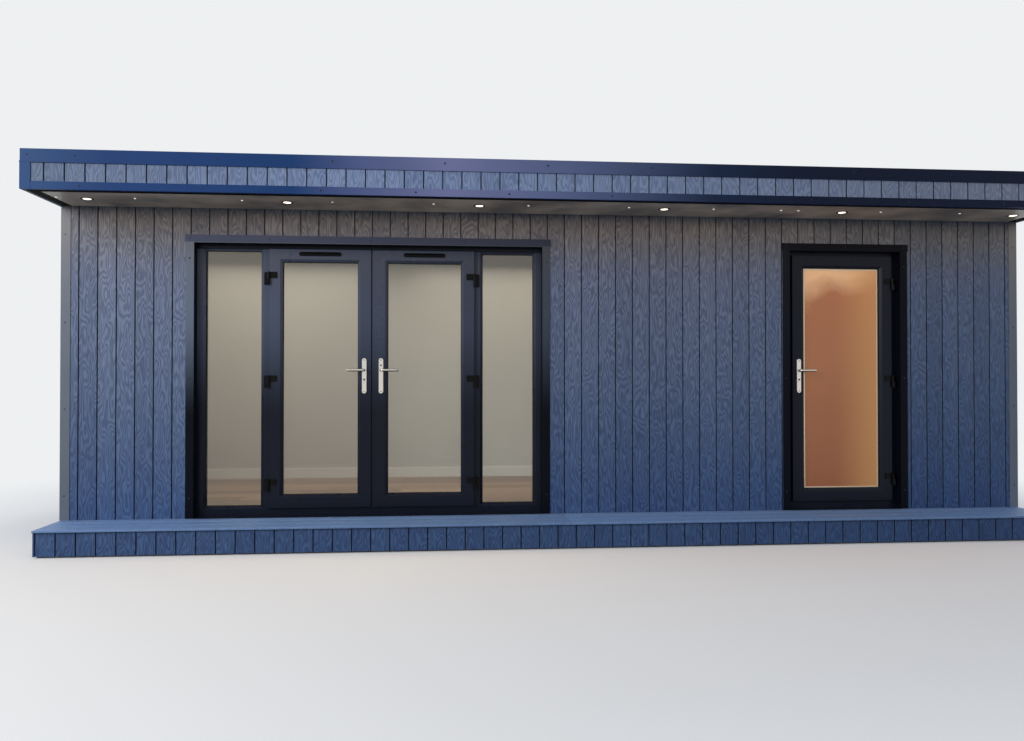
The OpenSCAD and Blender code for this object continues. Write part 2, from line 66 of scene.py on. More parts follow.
# The camera that the photograph was taken with, fitted to the pod's corners
IMAGE_WIDTH = 1024
FOCAL_PX = 780.0
SENSOR_MM = 36.0


# Modelling steps


def pick_only(*objects: Object) -> None:
    """Selects these objects and nothing else, and makes the first one active.

    Args:
        objects: what the next operators act on.
    """
    bpy.ops.object.select_all(action="DESELECT")
    for obj in objects:
        obj.select_set(True)
    bpy.context.view_layer.objects.active = objects[0]


def settled(name: str) -> Object:
    """Names the newest object, and moves its place, turn and size into its mesh.

    Args:
        name: the piece's name.

    Returns:
        The object, at the origin.
    """
    obj = bpy.context.object
    obj.name = obj.data.name = name
    pick_only(obj)
    bpy.ops.object.transform_apply(location=True, rotation=True, scale=True)
    return obj


def block(name: str, low: Point, high: Point) -> Object:
    """A block between two corners, as a start for shaping.

    Args:
        name: the piece's name.
        low: its lowest corner in metres.
        high: its highest corner in metres.

    Returns:
        The new object.
    """
    a, b = Vector(low), Vector(high)
    bpy.ops.object.select_all(action="DESELECT")
    bpy.ops.mesh.primitive_cube_add(size=1, location=(a + b) / 2, scale=b - a)
    return settled(name)


def disc(name: str, radius: float, height: float, sides: int) -> Object:
    """A round block standing on the origin, as a start for shaping.

    Args:
        name: the piece's name.
        radius: its radius in metres.
        height: its height in metres.
        sides: how many sides its rim has.

    Returns:
        The new object.
    """
    bpy.ops.object.select_all(action="DESELECT")
    bpy.ops.mesh.primitive_cylinder_add(
        vertices=sides, radius=radius, depth=height, location=(0, 0, height / 2)
    )
    return settled(name)


def start_edit(obj: Object) -> None:
    """Opens one object in edit mode."""
    pick_only(obj)
    bpy.ops.object.mode_set(mode="EDIT")


def end_edit() -> None:
    """Goes back to object mode."""
    bpy.ops.object.mode_set(mode="OBJECT")


def pick(obj: Object, kind: str, test: Callable[[Vector, Vector], bool]) -> None:
    """Selects faces or points in edit mode by their place.

    Args:
        obj: the object in edit mode.
        kind: FACE or VERT, as Blender calls them.
        test: takes each one's middle and normal, and says whether it is picked.
    """
    bpy.ops.mesh.select_mode(type=kind)
    bpy.ops.mesh.select_all(action="DESELECT")
    shape = bmesh.from_edit_mesh(obj.data)
    if kind == "FACE":
        for face in shape.faces:
            face.select_set(test(face.calc_center_median(), face.normal))
    else:
        for point in shape.verts:
            point.select_set(test(point.co, point.normal))
        shape.select_flush(True)
    bmesh.update_edit_mesh(obj.data)


def cut(at: Point, normal: Point, drop_behind: bool = False) -> None:
    """Cuts the mesh in edit mode along a plane.

    Args:
        at: a point on the plane.
        normal: the plane's normal.
        drop_behind: removes what lies behind the plane, and closes the mesh there.
    """
    bpy.ops.mesh.select_all(action="SELECT")
    bpy.ops.mesh.bisect(
        plane_co=at, plane_no=normal, use_fill=drop_behind, clear_inner=drop_behind
    )


def apply_modifier(obj: Object, kind: str, **settings: object) -> None:
    """Adds one modifier with its settings and applies it.

    Args:
        obj: the object that it shapes.
        kind: Blender's name for the modifier.
        settings: the modifier's properties.
    """
    modifier = obj.modifiers.new(kind.lower(), kind)
    for key, value in settings.items():
        setattr(modifier, key, value)
    pick_only(obj)
    bpy.ops.object.modifier_apply(modifier=modifier.name)


def lay_out(obj: Object, count: int, step: Point, **settings: object) -> None:
    """Repeats a mesh in a row, within its object.

    Args:
        obj: the object.
        count: how many times the mesh is there in the end.
        step: the way from each to the next.
        settings: more properties of the array modifier.
    """
    settings |= {"use_relative_offset": False, "use_constant_offset": True}
    apply_modifier(obj, "ARRAY", count=count, constant_offset_displace=step, **settings)


def soften(obj: Object, width: float, segments: int = 2) -> Object:
    """Rounds the sharp edges of a piece.

    Args:
        obj: the piece.
        width: the width of the rounding in metres.
        segments: how many facets it has.

    Returns:
        The same object.
    """
    apply_modifier(obj, "BEVEL", width=width, segments=segments, limit_method="ANGLE")
    pick_only(obj)
    bpy.ops.object.shade_smooth_by_angle(angle=math.radians(35))
    return obj


def joined(name: str, parts: Sequence[Object]) -> Object:
    """Joins several objects into one piece.

    Args:
        name: the piece's name.
        parts: the objects, each with its materials.

    Returns:
        The joined object.
    """
    pick_only(*parts)
    if len(parts) > 1:
        bpy.ops.object.join()
    whole = bpy.context.view_layer.objects.active
    whole.name = whole.data.name = name
    return whole


def copies(name: str, model: Object, places: Sequence[Matrix]) -> Object:
    """Repeats one small shape at many places, as one piece.

    Args:
        name: the piece's name.
        model: the shape, which is used up.
        places: where each copy goes.

    Returns:
        The joined piece.
    """
    parts = []
    for place in places:
        part = model.copy()
        part.data = model.data.copy()
        part.data.transform(place)
        bpy.context.collection.objects.link(part)
        parts.append(part)
    bpy.data.objects.remove(model)
    return joined(name, parts)


def strip_frame(name: str, low: Point, high: Point, width: float) -> Object:
    """A thin upright rectangular frame, such as a gasket, facing the front.

    Args:
        name: the piece's name.
        low: the lowest corner of the space it fills.
        high: the highest corner of that space.
        width: the width of its strip in metres.

    Returns:
        The new object.
    """
    a, b = Vector(low), Vector(high)
    bpy.ops.object.select_all(action="DESELECT")
    bpy.ops.mesh.primitive_plane_add(
        size=1, location=((a.x + b.x) / 2, a.y, (a.z + b.z) / 2), rotation=(math.pi / 2, 0, 0)
    )
    bpy.context.object.scale = (b.x - a.x, b.z - a.z, 1)
    obj = settled(name)
    start_edit(obj)
    bpy.ops.mesh.select_all(action="SELECT")
    bpy.ops.mesh.inset(thickness=width)
    bpy.ops.mesh.delete(type="FACE")
    bpy.ops.mesh.select_all(action="SELECT")
    bpy.ops.mesh.extrude_region_move(TRANSFORM_OT_translate={"value": (0, b.y - a.y, 0)})
    bpy.ops.mesh.select_all(action="SELECT")
    bpy.ops.mesh.normals_make_consistent(inside=False)
    end_edit()
    return soften(obj, min(width, b.y - a.y) * 0.3)


# Finishes

def linear(colour: str) -> tuple[float, float, float, float]:
    """Turns an sRGB hex colour into the linear values that a shader takes.

    Args:
        colour: six hex digits after a hash sign.

    Returns:
        Red, green, blue and an alpha of 1.
    """
    channels = [int(colour[i : i + 2], 16) / 255 for i in (1, 3, 5)]
    r, g, b = (c / 12.92 if c <= 0.04045 else ((c + 0.055) / 1.055) ** 2.4 for c in channels)
    return (r, g, b, 1.0)


def add_node(
    tree: bpy.types.NodeTree,
    kind: str,
    inputs: Inputs | None = None,
    out: str | int = 0,
    stops: dict[float, str] | None = None,
    **settings: object,
) -> Socket | None:
    """Adds a node with its settings, and values or links for its sockets.

    Args:
        tree: the tree that it goes into.
        kind: the node's type without its ShaderNode prefix.
        inputs: for each socket's name or number, a value, a hex colour or the socket that
            feeds it.
        out: the name or number of the output that is wanted.
        stops: for a colour ramp, the hex colour at each place.
        settings: the node's properties.

    Returns:
        The wanted output. A node that ends the tree has none.
    """
    node = tree.nodes.new("ShaderNode" + kind)
    for key, value in settings.items():
        setattr(node, key, value)
    for key, value in (inputs or {}).items():
        if isinstance(value, Socket):
            tree.links.new(value, node.inputs[key])
        else:
            node.inputs[key].default_value = linear(value) if isinstance(value, str) else value
    for i, (place, colour) in enumerate(sorted((stops or {}).items())):
        ramp = node.color_ramp.elements
        stop = ramp[i] if i < 2 else ramp.new(place)
        stop.position, stop.color = place, linear(colour)
    return node.outputs[out] if node.outputs else None


class Grain(Enum):
    """The way that a board's grain runs: the axes across it, and the axis along it."""

    UPRIGHT = ((1.0, 1.0, 0.0), (0.0, 0.0, 1.0))
    LENGTHWISE = ((0.0, 1.0, 1.0), (1.0, 0.0, 0.0))


@dataclass(frozen=True)
class Finish:
    """What every finish has: a name, a colour and how it takes light."""

    name: str
    colour: str
    roughness: float = 0.5
    metallic: float = 0.0

    def material(self) -> bpy.types.Material:
        """Makes the material.

        Returns:
            The new material, with its pattern drawn.
        """
        made = bpy.data.materials.new(self.name)
        made.use_nodes = True
        made.node_tree.nodes.clear()
        add = partial(add_node, made.node_tree)
        plain = {"Base Color": self.colour, "Roughness": self.roughness, "Metallic": self.metallic}
        shader = add("BsdfPrincipled", {**plain, **self.draw(add)})
        add("OutputMaterial", {"Surface": self.cover(add, shader)})
        made.diffuse_color = linear(self.colour)
        return made

    def draw(self, add: Adder) -> Inputs:
        """Draws the pattern. A plain finish has none.

        Args:
            add: adds a node to the material.

        Returns:
            The values and sockets for the shader's inputs.
        """
        return {}

    def cover(self, add: Adder, shader: Socket) -> Socket:
        """Covers the surface, in most finishes with the shader alone.

        Args:
            add: adds a node to the material.
            shader: the Principled shader.

        Returns:
            The surface's socket.
        """
        return shader


def front_share(add: Adder) -> Socket:
    """Tells the faces that look to the front from the others.

    Args:
        add: adds a node to the material.

    Returns:
        A socket that is 1 on faces that look to the front.
    """
    facing = add("SeparateXYZ", {"Vector": add("TexCoord", out="Normal")}, "Y")
    return add("MapRange", {"Value": facing, "From Min": -0.3, "From Max": -0.8})


@dataclass(frozen=True)
class PaintedFrontLight:
    """Painted light and shade that drift along the pod's front, by how far the trees shade it from
    the sky.
    """

    # The painted tone of the other sides, and the front's painted tone at some distances from the
    # middle
    plain: str
    stops: tuple[tuple[float, str], ...]

    def draw(self, add: Adder) -> Socket:
        """Draws the tone.

        Args:
            add: adds a node to the material.

        Returns:
            The colour's socket.
        """
        low, high = self.stops[0][0], self.stops[-1][0]
        across = add("SeparateXYZ", {"Vector": add("TexCoord", out="Object")}, "X")
        place = add("MapRange", {"Value": across, "From Min": low, "From Max": high})
        ramp = {(x - low) / (high - low): tone for x, tone in self.stops}
        front = add("ValToRGB", {"Fac": place}, stops=ramp)
        return add("Mix", {0: front_share(add), 6: self.plain, 7: front}, 2, data_type="RGBA")


@dataclass(frozen=True)
class PaintedSheenAndShade:
    """A painted grey sheen on a dark coat that stands for the sky's reflection, high up and towards
    the left.
    """

    colour: str
    # Painted shade above this height, where the eaves or a trim shade the coat
    shade: str = "#475573"
    shade_m: float = 2.19
    low_m: float = 0.9
    high_m: float = 1.7
    left_m: float = -2.8
    right_m: float = 1.9

    def over(self, add: Adder, own_colour: Socket) -> Socket:
        """Lays the painted sheen over a coat's own colour on the front, with painted shade above
        its height.

        Args:
            add: adds a node to the material.
            own_colour: the coat's own colour.

        Returns:
            The colour with its painted sheen and shade.
        """
        coords = add("TexCoord", out="Object")
        across = add("SeparateXYZ", {"Vector": coords}, "X")
        height = add("SeparateXYZ", {"Vector": coords}, "Z")
        high = add(
            "MapRange",
            {"Value": height, "From Min": self.low_m, "From Max": self.high_m},
            interpolation_type="SMOOTHSTEP",
        )
        left = add("MapRange", {"Value": across, "From Min": self.right_m, "From Max": self.left_m})
        # Painted shade above the height where the eaves and trims shade the coat
        in_painted_shade = add("Math", {0: height, 1: self.shade_m}, operation="GREATER_THAN")
        tone = add("Mix", {0: in_painted_shade, 6: self.colour, 7: self.shade}, 2, data_type="RGBA")
        reach = add("Math", {0: high, 1: left}, operation="MULTIPLY")
        share = add("Math", {0: reach, 1: front_share(add)}, operation="MULTIPLY")
        return add("Mix", {0: share, 6: own_colour, 7: tone}, 2, data_type="RGBA")


@dataclass(frozen=True)
class CompositeBoard(Finish):
    """Wood-plastic composite: an embossed oak grain, each board a little its own tone."""

    light: str = "#7786a2"
    dark: str = "#3f4d6b"
    # Spacing of the embossed grain, drawn coarser than it is so that it shows
    grain_mm: float = 8.5
    # How wide a flame of the grain is in spacings, how many lines it holds, how much longer
    # than wide it is, and how far apart in the pattern two boards can lie
    flame: float = 7.5
    lines: float = 12.0
    stretch: float = 4.8
    apart_m: float = 37.0
    # How fine the fibres are, and how their length shrinks in the pattern to draw them out
    fibres: float = 0.75
    shrink: float = 0.4
    # The fibres' share in the grain, and the board's own tone's share in the colour
    fibre_share: float = 0.55
    tone_share: float = 0.13
    relief_mm: float = 2.0
    strength: float = 0.85
    # An embossed board mirrors less than a smooth one
    mirror: float = 0.3
    # Painted shade that makes the boards near the ground darker and bluer, up to this height
    painted_low_shade: str = "#a6c8e7"
    painted_low_shade_m: float = 1.6
    # Painted warm light on the boards close under the roof, between these heights
    painted_warm_light: str = "#fff5e0"
    painted_warm_from_m: float = 1.85
    painted_warm_to_m: float = 2.35
    grain: Grain = Grain.UPRIGHT
    along: PaintedFrontLight | None = None

    def grain_figure(self, add: Adder, coords: Socket, tone: Socket) -> tuple[Socket, Socket]:
        """Draws flames of grain that change from board to board, and fibres in them.

        Args:
            add: adds a node to the material.
            coords: the place on the pod.
            tone: the board's own number.

        Returns:
            The whole grain, and its fibres alone.
        """
        pitch = self.grain_mm * MM
        shift = add("Math", {0: tone, 1: self.apart_m}, operation="MULTIPLY")
        moved = add("VectorMath", {0: coords, 1: shift}, operation="ADD")
        across, along = (
            add("VectorMath", {0: moved, 1: axes}, "Value", operation="DOT_PRODUCT")
            for axes in self.grain.value
        )
        long = add("Math", {0: along, 1: self.stretch}, operation="DIVIDE")
        vector = add("CombineXYZ", {"X": across, "Y": long})
        scale = 1 / (self.flame * pitch)
        soft = {"Detail": 1.5, "Roughness": 0.4}
        figure = add("TexNoise", {"Vector": vector, "Scale": scale, **soft})
        slant = add("Math", {0: across, 1: math.tau * scale}, operation="MULTIPLY")
        count = math.tau * self.lines
        turns = add("Math", {0: figure, 1: count, 2: slant}, operation="MULTIPLY_ADD")
        swing = add("Math", {0: turns}, operation="SINE")
        rings = add("MapRange", {"Value": swing, "From Min": -1.0})
        drawn = add("VectorMath", {0: vector, 1: (1.0, self.shrink, 1.0)}, operation="MULTIPLY")
        fibre = add("TexNoise", {"Vector": drawn, "Scale": self.fibres / pitch, "Detail": 4.0})
        return add("Mix", {0: self.fibre_share, 2: rings, 3: fibre}), fibre

    def tint(self, add: Adder, coords: Socket) -> Socket:
        """Draws the painted shade below and the painted warm light above on the boards' colour.

        Args:
            add: adds a node to the material.
            coords: the place on the pod.

        Returns:
            The tint's socket.
        """
        height = add("SeparateXYZ", {"Vector": coords}, "Z")
        smooth = {"interpolation_type": "SMOOTHSTEP"}
        clear_of_painted_shade = add("MapRange", {"Value": height, "From Max": self.painted_low_shade_m}, **smooth)
        tint = add("Mix", {0: clear_of_painted_shade, 6: self.painted_low_shade, 7: WHITE}, 2, data_type="RGBA")
        # The painted warm light's share close under the roof
        reach = {"From Min": self.painted_warm_from_m, "From Max": self.painted_warm_to_m}
        dust = add("MapRange", {"Value": height, **reach}, **smooth)
        return add("Mix", {0: dust, 6: tint, 7: self.painted_warm_light}, 2, data_type="RGBA")

    def draw(self, add: Adder) -> Inputs:
        """Draws the grain in colour and in relief.

        Args:
            add: adds a node to the material.

        Returns:
            The values and sockets for the shader's inputs.
        """
        tone = add("Attribute", out="Fac", attribute_name="tone")
        coords = add("TexCoord", out="Object")
        grain, fibre = self.grain_figure(add, coords, tone)
        toned = add("Mix", {0: self.tone_share, 2: grain, 3: tone})
        ramp = {0.12: self.dark, 0.5: self.colour, 0.9: self.light}
        colour = add("ValToRGB", {"Fac": toned}, stops=ramp)
        # Painted light and shade by height and along the front
        tints = [self.tint(add, coords)] + ([self.along.draw(add)] if self.along else [])
        for tint in tints:
            mixed = {0: 1.0, 6: colour, 7: tint}
            colour = add("Mix", mixed, 2, data_type="RGBA", blend_type="MULTIPLY")
        relief = {"Strength": self.strength, "Distance": self.relief_mm * MM}
        return {
            "Base Color": colour,
            "Roughness": add("MapRange", {"Value": fibre, "To Min": 0.46, "To Max": 0.66}),
            "Specular IOR Level": self.mirror,
            "Normal": add("Bump", {"Height": grain, **relief}),
        }


@dataclass(frozen=True)
class Coat(Finish):
    """A surface with a fine relief, and broad patches that differ a little in tone."""

    # The fine relief's pitch, depth and strength, and its noise's detail
    fine_mm: float = 3.0
    relief_mm: float = 0.2
    strength: float = 0.2
    detail: float = 2.0
    # The broad patches' size, their noise's detail, and how far their tone drifts
    patch_mm: float = 666.67
    patch_detail: float = 2.0
    drift: float = 0.05
    # How much glossier and how much duller than its roughness says the surface gets
    wear: tuple[float, float] | None = None
    # A dry, matt or embossed coat mirrors less than a smooth one
    mirror: float = 0.5
    # A painted sheen, with painted shade up high, over the coat's colour
    painted_sheen: PaintedSheenAndShade | None = None
    along: PaintedFrontLight | None = None

    def draw(self, add: Adder) -> Inputs:
        """Draws the relief, and the patches' tone and gloss.

        Args:
            add: adds a node to the material.

        Returns:
            The values and sockets for the shader's inputs.
        """
        coords = add("TexCoord", out="Object")
        broad = {"Scale": 1 / (self.patch_mm * MM), "Detail": self.patch_detail}
        patches = add("TexNoise", {"Vector": coords, **broad})
        swing = {"To Min": 1 - self.drift, "To Max": 1 + self.drift}
        value = add("MapRange", {"Value": patches, **swing})
        coat = self.along.draw(add) if self.along else self.colour
        colour = add("HueSaturation", {"Color": coat, "Value": value})
        scale = 1 / (self.fine_mm * MM)
        fine = add("TexNoise", {"Vector": coords, "Scale": scale, "Detail": self.detail})
        relief = {"Strength": self.strength, "Distance": self.relief_mm * MM}
        inputs = {
            "Base Color": self.painted_sheen.over(add, colour) if self.painted_sheen else colour,
            "Specular IOR Level": self.mirror,
            "Normal": add("Bump", {"Height": fine, **relief}),
        }
        if self.wear:
            low, high = self.roughness - self.wear[0], self.roughness + self.wear[1]
            inputs["Roughness"] = add("MapRange", {"Value": patches, "To Min": low, "To Max": high})
        return inputs


@dataclass(frozen=True)
class CoatedSheet(Coat):
    """Folded aluminium with a powder coat: a faint orange peel, and dust that dulls it."""

    fine_mm: float = 2.5
    relief_mm: float = 0.15
    strength: float = 0.12
    patch_mm: float = 384.62
    patch_detail: float = 4.0
    drift: float = 0.16
    wear: tuple[float, float] | None = (0.07, 0.12)


@dataclass(frozen=True)
class MouldedPlastic(Coat):
    """Plastic from a mould or under foil: a fine leathery texture that breaks the shine."""

    fine_mm: float = 1.6
    relief_mm: float = 0.12
    strength: float = 0.25
    detail: float = 3.0
    patch_mm: float = 200.0
    patch_detail: float = 3.0
    drift: float = 0.12
    wear: tuple[float, float] | None = (0.06, 0.08)


@dataclass(frozen=True)
class SatinMetal(Finish):
    """Brushed and plated zinc: fine lines one way that spread the highlight."""

    metallic: float = 1.0
    line_mm: float = 0.5
    # Its roughness on the lines and between them
    smooth: float = 0.2
    rough: float = 0.36
    # Painted shade on the faces that look down, under the levers and rims
    painted_underside_shade: str = "#2b2927"

    def draw(self, add: Adder) -> Inputs:
        """Draws the brushing, with painted shade on the faces that look down.

        Args:
            add: adds a node to the material.

        Returns:
            The values and sockets for the shader's inputs.
        """
        coords = add("TexCoord", out="Object")
        along = add("Mapping", {"Vector": coords, "Scale": (1.0, 1.0, 0.04)})
        scale = 1 / (self.line_mm * MM)
        lines = add("TexNoise", {"Vector": along, "Scale": scale, "Detail": 2.0})
        upward = add("SeparateXYZ", {"Vector": add("TexCoord", out="Normal")}, "Z")
        down = {"From Min": -0.05, "From Max": -0.55, "To Max": 0.9}
        under = add("MapRange", {"Value": upward, **down})
        tones = {0: under, 6: self.colour, 7: self.painted_underside_shade}
        gloss = {"To Min": self.smooth, "To Max": self.rough}
        return {
            "Base Color": add("Mix", tones, 2, data_type="RGBA"),
            "Roughness": add("MapRange", {"Value": lines, **gloss}),
            "Normal": add("Bump", {"Height": lines, "Strength": 0.15, "Distance": 0.05 * MM}),
        }


@dataclass(frozen=True)
class Paint(Coat):
    """Emulsion put on with a roller: flat, with a faint stipple."""


@dataclass(frozen=True)
class LaidFloor(Finish):
    """Oak-effect laminate: planks with thin dark joints and a satin top."""

    plank_mm: float = 190.0
    length_mm: float = 1280.0
    joint_mm: float = 1.5
    grain_mm: float = 16.667

    def draw(self, add: Adder) -> Inputs:
        """Draws the planks in brick bond, with grain along each.

        Args:
            add: adds a node to the material.

        Returns:
            The values and sockets for the shader's inputs.
        """
        coords = add("TexCoord", out="Object")
        sizes = {
            "Scale": 1.0,
            "Mortar Size": self.joint_mm * MM,
            "Brick Width": self.length_mm * MM,
            "Row Height": self.plank_mm * MM,
        }
        tones = {"Color1": "#a5876d", "Color2": "#7c624d", "Mortar": "#3a2c22"}
        planks = add("TexBrick", {"Vector": coords, **sizes, **tones})
        along = add("Mapping", {"Vector": coords, "Scale": (0.08, 1.0, 1.0)})
        fine = {"Scale": 1 / (self.grain_mm * MM), "Detail": 6.0, "Distortion": 1.2}
        grain = add("TexNoise", {"Vector": along, **fine})
        value = add("MapRange", {"Value": grain, "To Min": 0.8, "To Max": 1.2})
        joints = {"Height": planks.node.outputs["Fac"], "Strength": 0.4, "Distance": 0.6 * MM}
        return {
            "Base Color": add("HueSaturation", {"Color": planks, "Value": value}),
            "Normal": add("Bump", joints, invert=True),
        }


@dataclass(frozen=True)
class ClearPane(Finish):
    """Sealed double glazing: clear, with a faint green-grey body and sharp reflections."""

    wave_mm: float = 454.55

    def draw(self, add: Adder) -> Inputs:
        """Makes the glass clear, with the slight waves of a sealed unit.

        Args:
            add: adds a node to the material.

        Returns:
            The values and sockets for the shader's inputs.
        """
        coords = add("TexCoord", out="Object")
        scale = 1 / (self.wave_mm * MM)
        ripple = add("TexNoise", {"Vector": coords, "Scale": scale, "Detail": 1.0})
        return {
            "Transmission Weight": 1.0,
            "IOR": 1.5,
            "Normal": add("Bump", {"Height": ripple, "Strength": 0.05, "Distance": 3 * MM}),
        }

    def cover(self, add: Adder, shader: Socket) -> Socket:
        """Lets the lamps' light through the glass.

        Args:
            add: adds a node to the material.
            shader: the Principled shader.

        Returns:
            The surface's socket.
        """
        lamp = add("BsdfTransparent", {"Color": "#e6ebea"})
        return add("MixShader", {0: add("LightPath", out="Is Shadow Ray"), 1: shader, 2: lamp})


@dataclass(frozen=True)
class ObscurePane(Finish):
    """Patterned obscure glass with a painted glow for the warm light behind it: bright above and
    deeper below.
    """

    upper: str = "#d3ab80"
    lower: str = "#814821"
    # Painted glow of the lamp behind the glass: a golden tone towards one side
    golden: str = "#b78349"
    golden_from_m: float = 2.12
    golden_to_m: float = 2.55
    # The cast pattern's pitch, drawn a little coarse so that it shows
    pattern_mm: float = 9.0
    # The painted glow rises along a line that leans left, between these measures along it
    lean: Point = (-0.3, 0.0, 1.0)
    low_m: float = -0.36
    high_m: float = 1.54
    # The clouds in the tone: their size and share, and how brightly the light comes through
    cloud_mm: float = 384.62
    cloudy: float = 0.18
    through: float = 0.3

    def draw(self, add: Adder) -> Inputs:
        """Draws the painted warm glow that falls off downwards, and the cast pattern.

        Args:
            add: adds a node to the material.

        Returns:
            The values and sockets for the shader's inputs.
        """
        coords = add("TexCoord", out="Object")
        rise = add("VectorMath", {0: coords, 1: self.lean}, "Value", operation="DOT_PRODUCT")
        height = add("MapRange", {"Value": rise, "From Min": self.low_m, "From Max": self.high_m})
        broad = {"Scale": 1 / (self.cloud_mm * MM), "Detail": 6.0}
        cloud = add("TexNoise", {"Vector": coords, **broad})
        level = add("Mix", {0: self.cloudy, 2: height, 3: cloud})
        ramp = {0.1: self.lower, 0.55: self.colour, 0.75: self.colour, 0.83: self.upper}
        base = add("ValToRGB", {"Fac": level}, stops=ramp)
        across = add("SeparateXYZ", {"Vector": coords}, "X")
        reach = {"From Min": self.golden_from_m, "From Max": self.golden_to_m, "To Max": 0.75}
        side = add("MapRange", {"Value": across, **reach}, interpolation_type="SMOOTHSTEP")
        colour = add("Mix", {0: side, 6: base, 7: self.golden}, 2, data_type="RGBA")
        scale = 1 / (self.pattern_mm * MM)
        cells = add("TexVoronoi", {"Vector": coords, "Scale": scale}, feature="SMOOTH_F1")
        return {
            "Base Color": colour,
            "Emission Color": colour,
            "Emission Strength": self.through,
            "Coat Weight": 0.3,
            "Coat Roughness": 0.05,
            "Normal": add("Bump", {"Height": cells, "Strength": 0.6, "Distance": 1 * MM}),
        }


@dataclass(frozen=True)
class SoffitSheet(Finish):
    """Satin soffit panel: smooth, with one butt joint between two lengths."""

    dull: str = "#8b8581"
    joint_m: float = 1.646
    joint_mm: float = 3.0
    wave_mm: float = 333.33

    def draw(self, add: Adder) -> Inputs:
        """Draws the joint, and the slight waves of a thin panel.

        Args:
            add: adds a node to the material.

        Returns:
            The values and sockets for the shader's inputs.
        """
        coords = add("TexCoord", out="Object")
        across = add("SeparateXYZ", {"Vector": coords}, "X")
        away = add("Math", {0: across, 1: self.joint_m}, operation="SUBTRACT")
        wide = add("Math", {0: away}, operation="ABSOLUTE")
        joint = add("Math", {0: wide, 1: self.joint_mm * MM / 2}, operation="LESS_THAN")
        scale = 1 / (self.wave_mm * MM)
        waves = add("TexNoise", {"Vector": coords, "Scale": scale, "Detail": 2.0})
        base = add("ValToRGB", {"Fac": waves}, stops={0.3: self.dull, 0.7: self.colour})
        return {
            "Base Color": add("Mix", {0: joint, 6: base, 7: "#0d0d0e"}, 2, data_type="RGBA"),
            "Normal": add("Bump", {"Height": waves, "Strength": 0.12, "Distance": 4 * MM}),
        }


@dataclass(frozen=True)
class SawnTimber(Finish):
    """Treated softwood, sawn: rough, with soft growth lines along its length."""

    dark: str = "#6f5a3e"
    line_mm: float = 11.111

    def draw(self, add: Adder) -> Inputs:
        """Draws growth lines and the saw's marks.

        Args:
            add: adds a node to the material.

        Returns:
            The values and sockets for the shader's inputs.
        """
        coords = add("TexCoord", out="Object")
        along = add("Mapping", {"Vector": coords, "Scale": (0.07, 1.0, 1.0)})
        scale = 1 / (self.line_mm * MM)
        lines = add("TexNoise", {"Vector": along, "Scale": scale, "Detail": 5.0})
        return {
            "Base Color": add("ValToRGB", {"Fac": lines}, stops={0.3: self.dark, 0.7: self.colour}),
            "Normal": add("Bump", {"Height": lines, "Strength": 0.5, "Distance": 0.8 * MM}),
        }


@dataclass(frozen=True)
class Glow(Finish):
    """Frosted lens of a lit lamp, or a small part with a painted glow for the light below it."""

    strength: float = 2.5
    # The frosting's pitch, drawn coarser than it is so that it shows
    frost_mm: float = 1.1111

    def draw(self, add: Adder) -> Inputs:
        """Lights the surface and frosts it.

        Args:
            add: adds a node to the material.

        Returns:
            The values and sockets for the shader's inputs.
        """
        coords = add("TexCoord", out="Object")
        frost = add("TexNoise", {"Vector": coords, "Scale": 1 / (self.frost_mm * MM)})
        return {
            "Emission Color": "#fff1dc",
            "Emission Strength": self.strength,
            "Normal": add("Bump", {"Height": frost, "Strength": 0.2, "Distance": 0.1 * MM}),
        }


